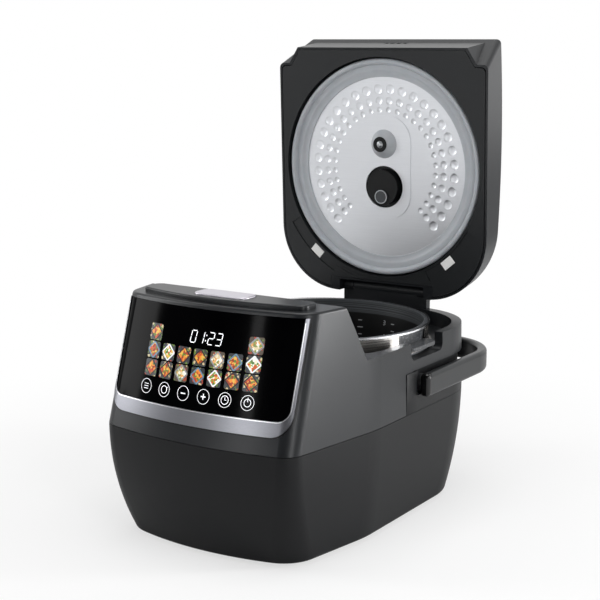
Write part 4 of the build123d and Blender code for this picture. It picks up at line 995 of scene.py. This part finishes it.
# The copy's stored normals belong to the plain plate and would streak the dents
bpy.ops.mesh.customdata_custom_splitnormals_clear()
close_up(dented_plate)
modified(dented_plate, "BOOLEAN", operation="DIFFERENCE", solver="EXACT", object=press_tools)
bpy.data.objects.remove(press_tools)
active_only(dented_plate)
bpy.ops.object.shade_smooth_by_angle(angle=math.radians(14))
paint(dented_plate, plate_aluminium, "inner_lid")
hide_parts("inner_plate")

# %% [markdown]
# ## Catches in the lid's windows
# Two windows near the hinge show the white nylon catches that hold the inner lid. A catch is a small plate
# that lies in the liner's pocket, with a plug that goes up through the window: a cube scaled to the plate,
# whose upper face is inset and drawn up.

# %% Nylon catches
WINDOW_R = 138.5
WINDOW_ANGLE = 49.8
CATCH_WIDE = 10.4
CATCH_LONG = 16.0
CATCH_THICK = 0.8
CATCH_EDGE = 0.25
CATCH_Z = 198.35
PLUG_INSET = 2.0
PLUG_RISE = 1.6
# Moulded nylon: a clean, slightly warm white with a soft shine
nylon = grained_plastic("white_moulded_nylon", "#F3F3F1", "#E9E9E7", 0.4, 0.6, 0.05)


def nylon_catch(angle):
    """One catch on the shut lid, at an angle round the pot."""
    middle = round_place(WINDOW_R, angle, CATCH_Z + CATCH_THICK / 2)
    bpy.ops.mesh.primitive_cube_add(size=1, location=middle, rotation=(0, 0, math.radians(angle)))
    catch = bpy.context.object
    catch.scale = (CATCH_WIDE * MM, CATCH_LONG * MM, CATCH_THICK * MM)
    settle(catch)
    pick(catch, "polygons", lambda f: f.normal.z > 0.9)
    bpy.ops.mesh.inset(thickness=PLUG_INSET * MM)
    draw_up(PLUG_RISE)
    leave_edit(catch)
    pick(catch, "polygons", lambda f: f.normal.z < -0.9)
    bpy.ops.mesh.bevel(offset=CATCH_EDGE * MM, segments=2, affect="EDGES")
    return leave_edit(catch)


catches = joined([nylon_catch(WINDOW_ANGLE), nylon_catch(180 - WINDOW_ANGLE)], "nylon_catches")
paint(close_up(swung(catches)), nylon, "lid")

# %% [markdown]
# ## Painted shade in the grommet's hole, and ring of the steam disc
# A black washer in the inner lid's grommet is painted shade, the dark of the hole round the stud, and the
# steam disc is framed by a thin pale ring. Both are flat washers: a flat ring is drawn out to a small
# thickness, and a Bevel modifier breaks its edges.

# %% Washers
# Outer and inner radius of the black washer that paints the shade in the grommet's hole
HOLE_SHADE_OUT = 9.0
HOLE_SHADE_IN = 3.2
RING_OVER = 0.2
RING_LINE = 1.0
WASHER_THICK = 0.3
WASHER_EDGE = 0.09
WASHER_STEPS = 64


def front_on_shut_lid(box):
    """Middle of a box's front face, moved to where it is on the shut lid."""
    low, high = box
    return swing_open.inverted() @ Vector(((low.x + high.x) / 2, low.y, (low.z + high.z) / 2))


def flat_washer(name, centre, outer, inner):
    """Ring that lies under a face of the shut lid, with its edges broken, swung open."""
    washer = flat_ring(centre, outer, outer - inner, WASHER_STEPS, (0, 0, 0))
    edit_all(washer)
    draw_up(-WASHER_THICK)
    modified(close_up(leave_edit(washer)), "BEVEL", width=WASHER_EDGE * MM, segments=2)
    return swung(named(washer, name))


# Painted shade: a black washer darkens the grommet's hole round the stud
hole_shade = flat_washer("grommet_mouth", front_on_shut_lid(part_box("grommet")), HOLE_SHADE_OUT, HOLE_SHADE_IN)
paint(hole_shade, black_abs, "inner_lid")
disc_low, disc_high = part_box("steam_disc")
disc_face = front_on_shut_lid((disc_low, disc_high))
disc_r = (disc_high.x - disc_low.x) / 2 / MM
disc_ring = flat_washer("steam_disc_ring", disc_face, disc_r + RING_OVER, disc_r - RING_LINE)
paint(disc_ring, pale_silicone, "lid")

# %% [markdown]
# ## Ball of the stud
# The inner lid snaps over a stud with a polished, flattened ball. It is a turned piece, so it starts as a
# sphere, which is cut just behind its middle, where the stud goes on, and pressed flatter.

# %% Stud ball
BALL_R = 4.0
BALL_CUT = 0.3
BALL_FLATTEN = 0.45
stud_tip = front_on_shut_lid(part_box("lid_stud"))
bpy.ops.mesh.primitive_uv_sphere_add(segments=32, ring_count=16, radius=BALL_R * MM, location=stud_tip)
ball = named(settle(bpy.context.object), "stud_ball")
edit_all(ball)
bpy.ops.mesh.bisect(
    plane_co=(0, 0, stud_tip.z + BALL_CUT * MM), plane_no=(0, 0, 1), clear_outer=True, use_fill=True
)
bpy.ops.mesh.select_all(action="SELECT")
bpy.ops.transform.resize(value=(1, 1, BALL_FLATTEN), center_override=stud_tip)
leave_edit(ball)
bpy.ops.object.shade_smooth_by_angle(angle=math.radians(50))
paint(swung(ball), plain_steel, "lid")

# %% [markdown]
# ## Raised rear wall of the lower housing
# Behind the front of the handle the lower housing rises to cover the bay, and leaves only a pocket for the
# handle's pivot. The wall follows the plan of the seam, straight sides with a wide round at the rear
# corners, so it starts as a plane with two bevelled corners. Its open edge is drawn up, its front ends are
# drawn up further, and a Solidify modifier gives it the thickness of the moulding.

# %% Raised wall
SEAM_Z = 121.4
WALL_FRONT = -47.2
WALL_POCKET = -23.0
WALL_TOP = 139.0
WALL_FRONT_TOP = 166.2
WALL_REAR_CORNER = 88.0
WALL_THICK = 4.2
WALL_EDGE = 0.6
NEAR = 0.1
_, housing_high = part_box("lower_housing")
wall_rear = housing_high.y
wall_front = pot_y + WALL_FRONT * MM
pocket_y = pot_y + WALL_POCKET * MM
bpy.ops.mesh.primitive_plane_add(size=1, location=(0, (wall_rear + wall_front) / 2, SEAM_Z * MM))
rear_wall = named(bpy.context.object, "raised_rear_wall")
rear_wall.scale = (2 * housing_high.x, wall_rear - wall_front, 1)
settle(rear_wall)
pick(rear_wall, "vertices", lambda v: v.co.y > 0)
bpy.ops.mesh.bevel(offset=WALL_REAR_CORNER * MM, segments=24, affect="VERTICES")
bpy.ops.mesh.select_all(action="SELECT")
bpy.ops.mesh.delete(type="ONLY_FACE")
leave_edit(rear_wall)


def before(edge, limit_y, above_z=0.0):
    """True for an edge of the wall with both ends before a limit and above a height."""
    ends = [rear_wall.data.vertices[i].co for i in edge.vertices]
    return all(end.y < limit_y + NEAR * MM and end.z > above_z - NEAR * MM for end in ends)


pick(rear_wall, "edges", lambda e: before(e, wall_front))
bpy.ops.mesh.delete(type="EDGE")
bpy.ops.mesh.select_all(action="SELECT")
draw_up(WALL_TOP - SEAM_Z)
bpy.ops.mesh.select_all(action="SELECT")
bpy.ops.mesh.bisect(plane_co=(0, pocket_y, 0), plane_no=(0, 1, 0))
leave_edit(rear_wall)
pick(rear_wall, "edges", lambda e: before(e, pocket_y, WALL_TOP * MM))
draw_up(WALL_FRONT_TOP - WALL_TOP)
modified(close_up(leave_edit(rear_wall)), "SOLIDIFY", thickness=WALL_THICK * MM, offset=-1.0)
modified(rear_wall, "BEVEL", width=WALL_EDGE * MM, segments=2)
bpy.ops.object.shade_smooth_by_angle(angle=math.radians(30))
paint(rear_wall, charcoal_abs, "housing")

# %% [markdown]
# ## Floor
# A pale floor fades to pure white with distance, so there is no horizon, and it keeps the cooker's shadow
# near its feet. It is a wide disc whose paint gives way to a white glow that only the camera sees.

# %% Floor
FLOOR_R = 6
FADE_FROM = 0.1
FADE_TO = 0.75
NEAR_GLOW = 0.6
SMOOTH = "SMOOTHSTEP"


def floor_paint():
    """Pale paint with a soft shine, which gives way to white with distance."""
    material, tree, bsdf = new_material(
        "studio_floor_paint", Base_Color=hex_colour("#F4F4F4"), Roughness=0.6, Specular_IOR_Level=0.1
    )
    place = add_node(tree, "TexCoord")
    away = add_node(tree, "VectorMath", {"operation": "LENGTH"}, {0: place.outputs["Object"]})
    fade = add_node(
        tree,
        "MapRange",
        {"interpolation_type": SMOOTH, "From Min": FADE_FROM, "From Max": FADE_TO, "To Min": NEAR_GLOW},
        {"Value": away.outputs["Value"]},
    )
    glow = add_node(tree, "Emission", {"Strength": 1.0})
    camera_ray = add_node(tree, "LightPath").outputs["Is Camera Ray"]
    seen = add_node(tree, "Math", {"operation": "MULTIPLY"}, {0: fade, 1: camera_ray})
    mixed = add_node(tree, "MixShader", links={0: seen, 1: bsdf, 2: glow})
    feed(tree, tree.nodes["Material Output"], {"Surface": mixed})
    return material


bpy.ops.mesh.primitive_circle_add(vertices=96, radius=FLOOR_R, fill_type="NGON")
floor = bpy.context.object
floor.name = "studio_floor"
floor.data.materials.append(floor_paint())
print("floor fades to white from", FADE_FROM, "to", FADE_TO, "m")

# %% [markdown]
# ## Backdrop
# The world is white to the camera, and to metal and glass where the backdrop stands behind the cooker.
# Elsewhere it is dim, as a studio is, so that dark plastic stays dark.

# %% World
STUDIO_DIM = 0.11
BACKDROP_TURN = math.radians(33)
BACKDROP_SOFT = 0.5
world = bpy.data.worlds.new("studio")
scene.world = world
world.use_nodes = True
world_tree = world.node_tree
backdrop = world_tree.nodes["Background"]
backdrop.inputs["Color"].default_value = (1, 1, 1, 1)
backdrop.inputs["Strength"].default_value = 1.0
dim = add_node(world_tree, "Background", {"Color": (1, 1, 1, 1), "Strength": STUDIO_DIM})
path = add_node(world_tree, "LightPath")
way = add_node(world_tree, "TexCoord")
towards = add_node(
    world_tree,
    "VectorMath",
    {"operation": "DOT_PRODUCT", 1: (-math.sin(BACKDROP_TURN), math.cos(BACKDROP_TURN), 0)},
    {0: way.outputs["Generated"]},
)
behind = add_node(
    world_tree,
    "MapRange",
    {"interpolation_type": SMOOTH, "From Min": 0.0, "From Max": BACKDROP_SOFT},
    {"Value": towards.outputs["Value"]},
)
# White shows where a ray is glossy or goes through, and meets the backdrop, or comes from the camera
seen = path.outputs["Is Glossy Ray"]
for operation, other in (
    ("MAXIMUM", path.outputs["Is Transmission Ray"]),
    ("MULTIPLY", behind),
    ("MAXIMUM", path.outputs["Is Camera Ray"]),
):
    seen = add_node(world_tree, "Math", {"operation": operation}, {0: seen, 1: other})
mixed = add_node(world_tree, "MixShader", links={0: seen, 1: dim, 2: backdrop})
feed(world_tree, world_tree.nodes["World Output"], {"Surface": mixed})
print("world ready, studio level", STUDIO_DIM)

# %% [markdown]
# ## Lamps
# Tall soft boxes stand to the left and the right of the photographer, a narrow one draws the light line on
# the trim, and a large one hangs overhead. A last one stands to the right and a little behind: the
# housing's front corner mirrors it as a long upright highlight.


# %% Lamps
def soft_lamp(name, place, aim, size, power):
    """Rectangular lamp that faces a point."""
    bpy.ops.object.light_add(type="AREA", location=place)
    lamp = bpy.context.object
    lamp.name = name
    lamp.data.shape = "RECTANGLE"
    lamp.data.size, lamp.data.size_y = size
    lamp.data.energy = power
    lamp.rotation_euler = (Vector(aim) - Vector(place)).to_track_quat("-Z", "Y").to_euler()


soft_lamp("left_lamp", (-1.7, -1.0, 1.0), (0, 0, 0.25), (0.5, 1.4), 16)
soft_lamp("line_lamp", (-0.5, -1.9, 0.55), (0, -0.1, 0.2), (0.12, 1.2), 5)
soft_lamp("right_lamp", (1.55, -0.95, 0.7), (0, -0.1, 0.2), (0.4, 1.4), 10)
soft_lamp("corner_lamp", (1.5, 0.7, 0.5), (0.1, -0.1, 0.2), (0.25, 0.9), 22)
soft_lamp("top_lamp", (0.1, 0.0, 2.1), (0, 0, 0.2), (1.4, 1.4), 22)
print("lamps: 5")

# %% [markdown]
# ## Camera
# The camera stands a step and a half away, to the right of the panel and a little above the rim, and looks
# slightly down. Its lens was fitted so that the bowl's rim and the lid fall where the photograph has them.

# %% Camera
CAMERA_PLACE = (0.8003, -1.2730 + pot_y, 0.5125)
CAMERA_DOWN = 10.83
CAMERA_TURN = 33.14
CAMERA_LENS = 81.73
CAMERA_SENSOR = 36
bpy.ops.object.camera_add(
    location=CAMERA_PLACE, rotation=(math.radians(90 - CAMERA_DOWN), 0, math.radians(CAMERA_TURN))
)
camera = bpy.context.object
camera.data.lens = CAMERA_LENS
camera.data.sensor_width = CAMERA_SENSOR
scene.camera = camera
print("camera at", [round(v, 3) for v in camera.location])
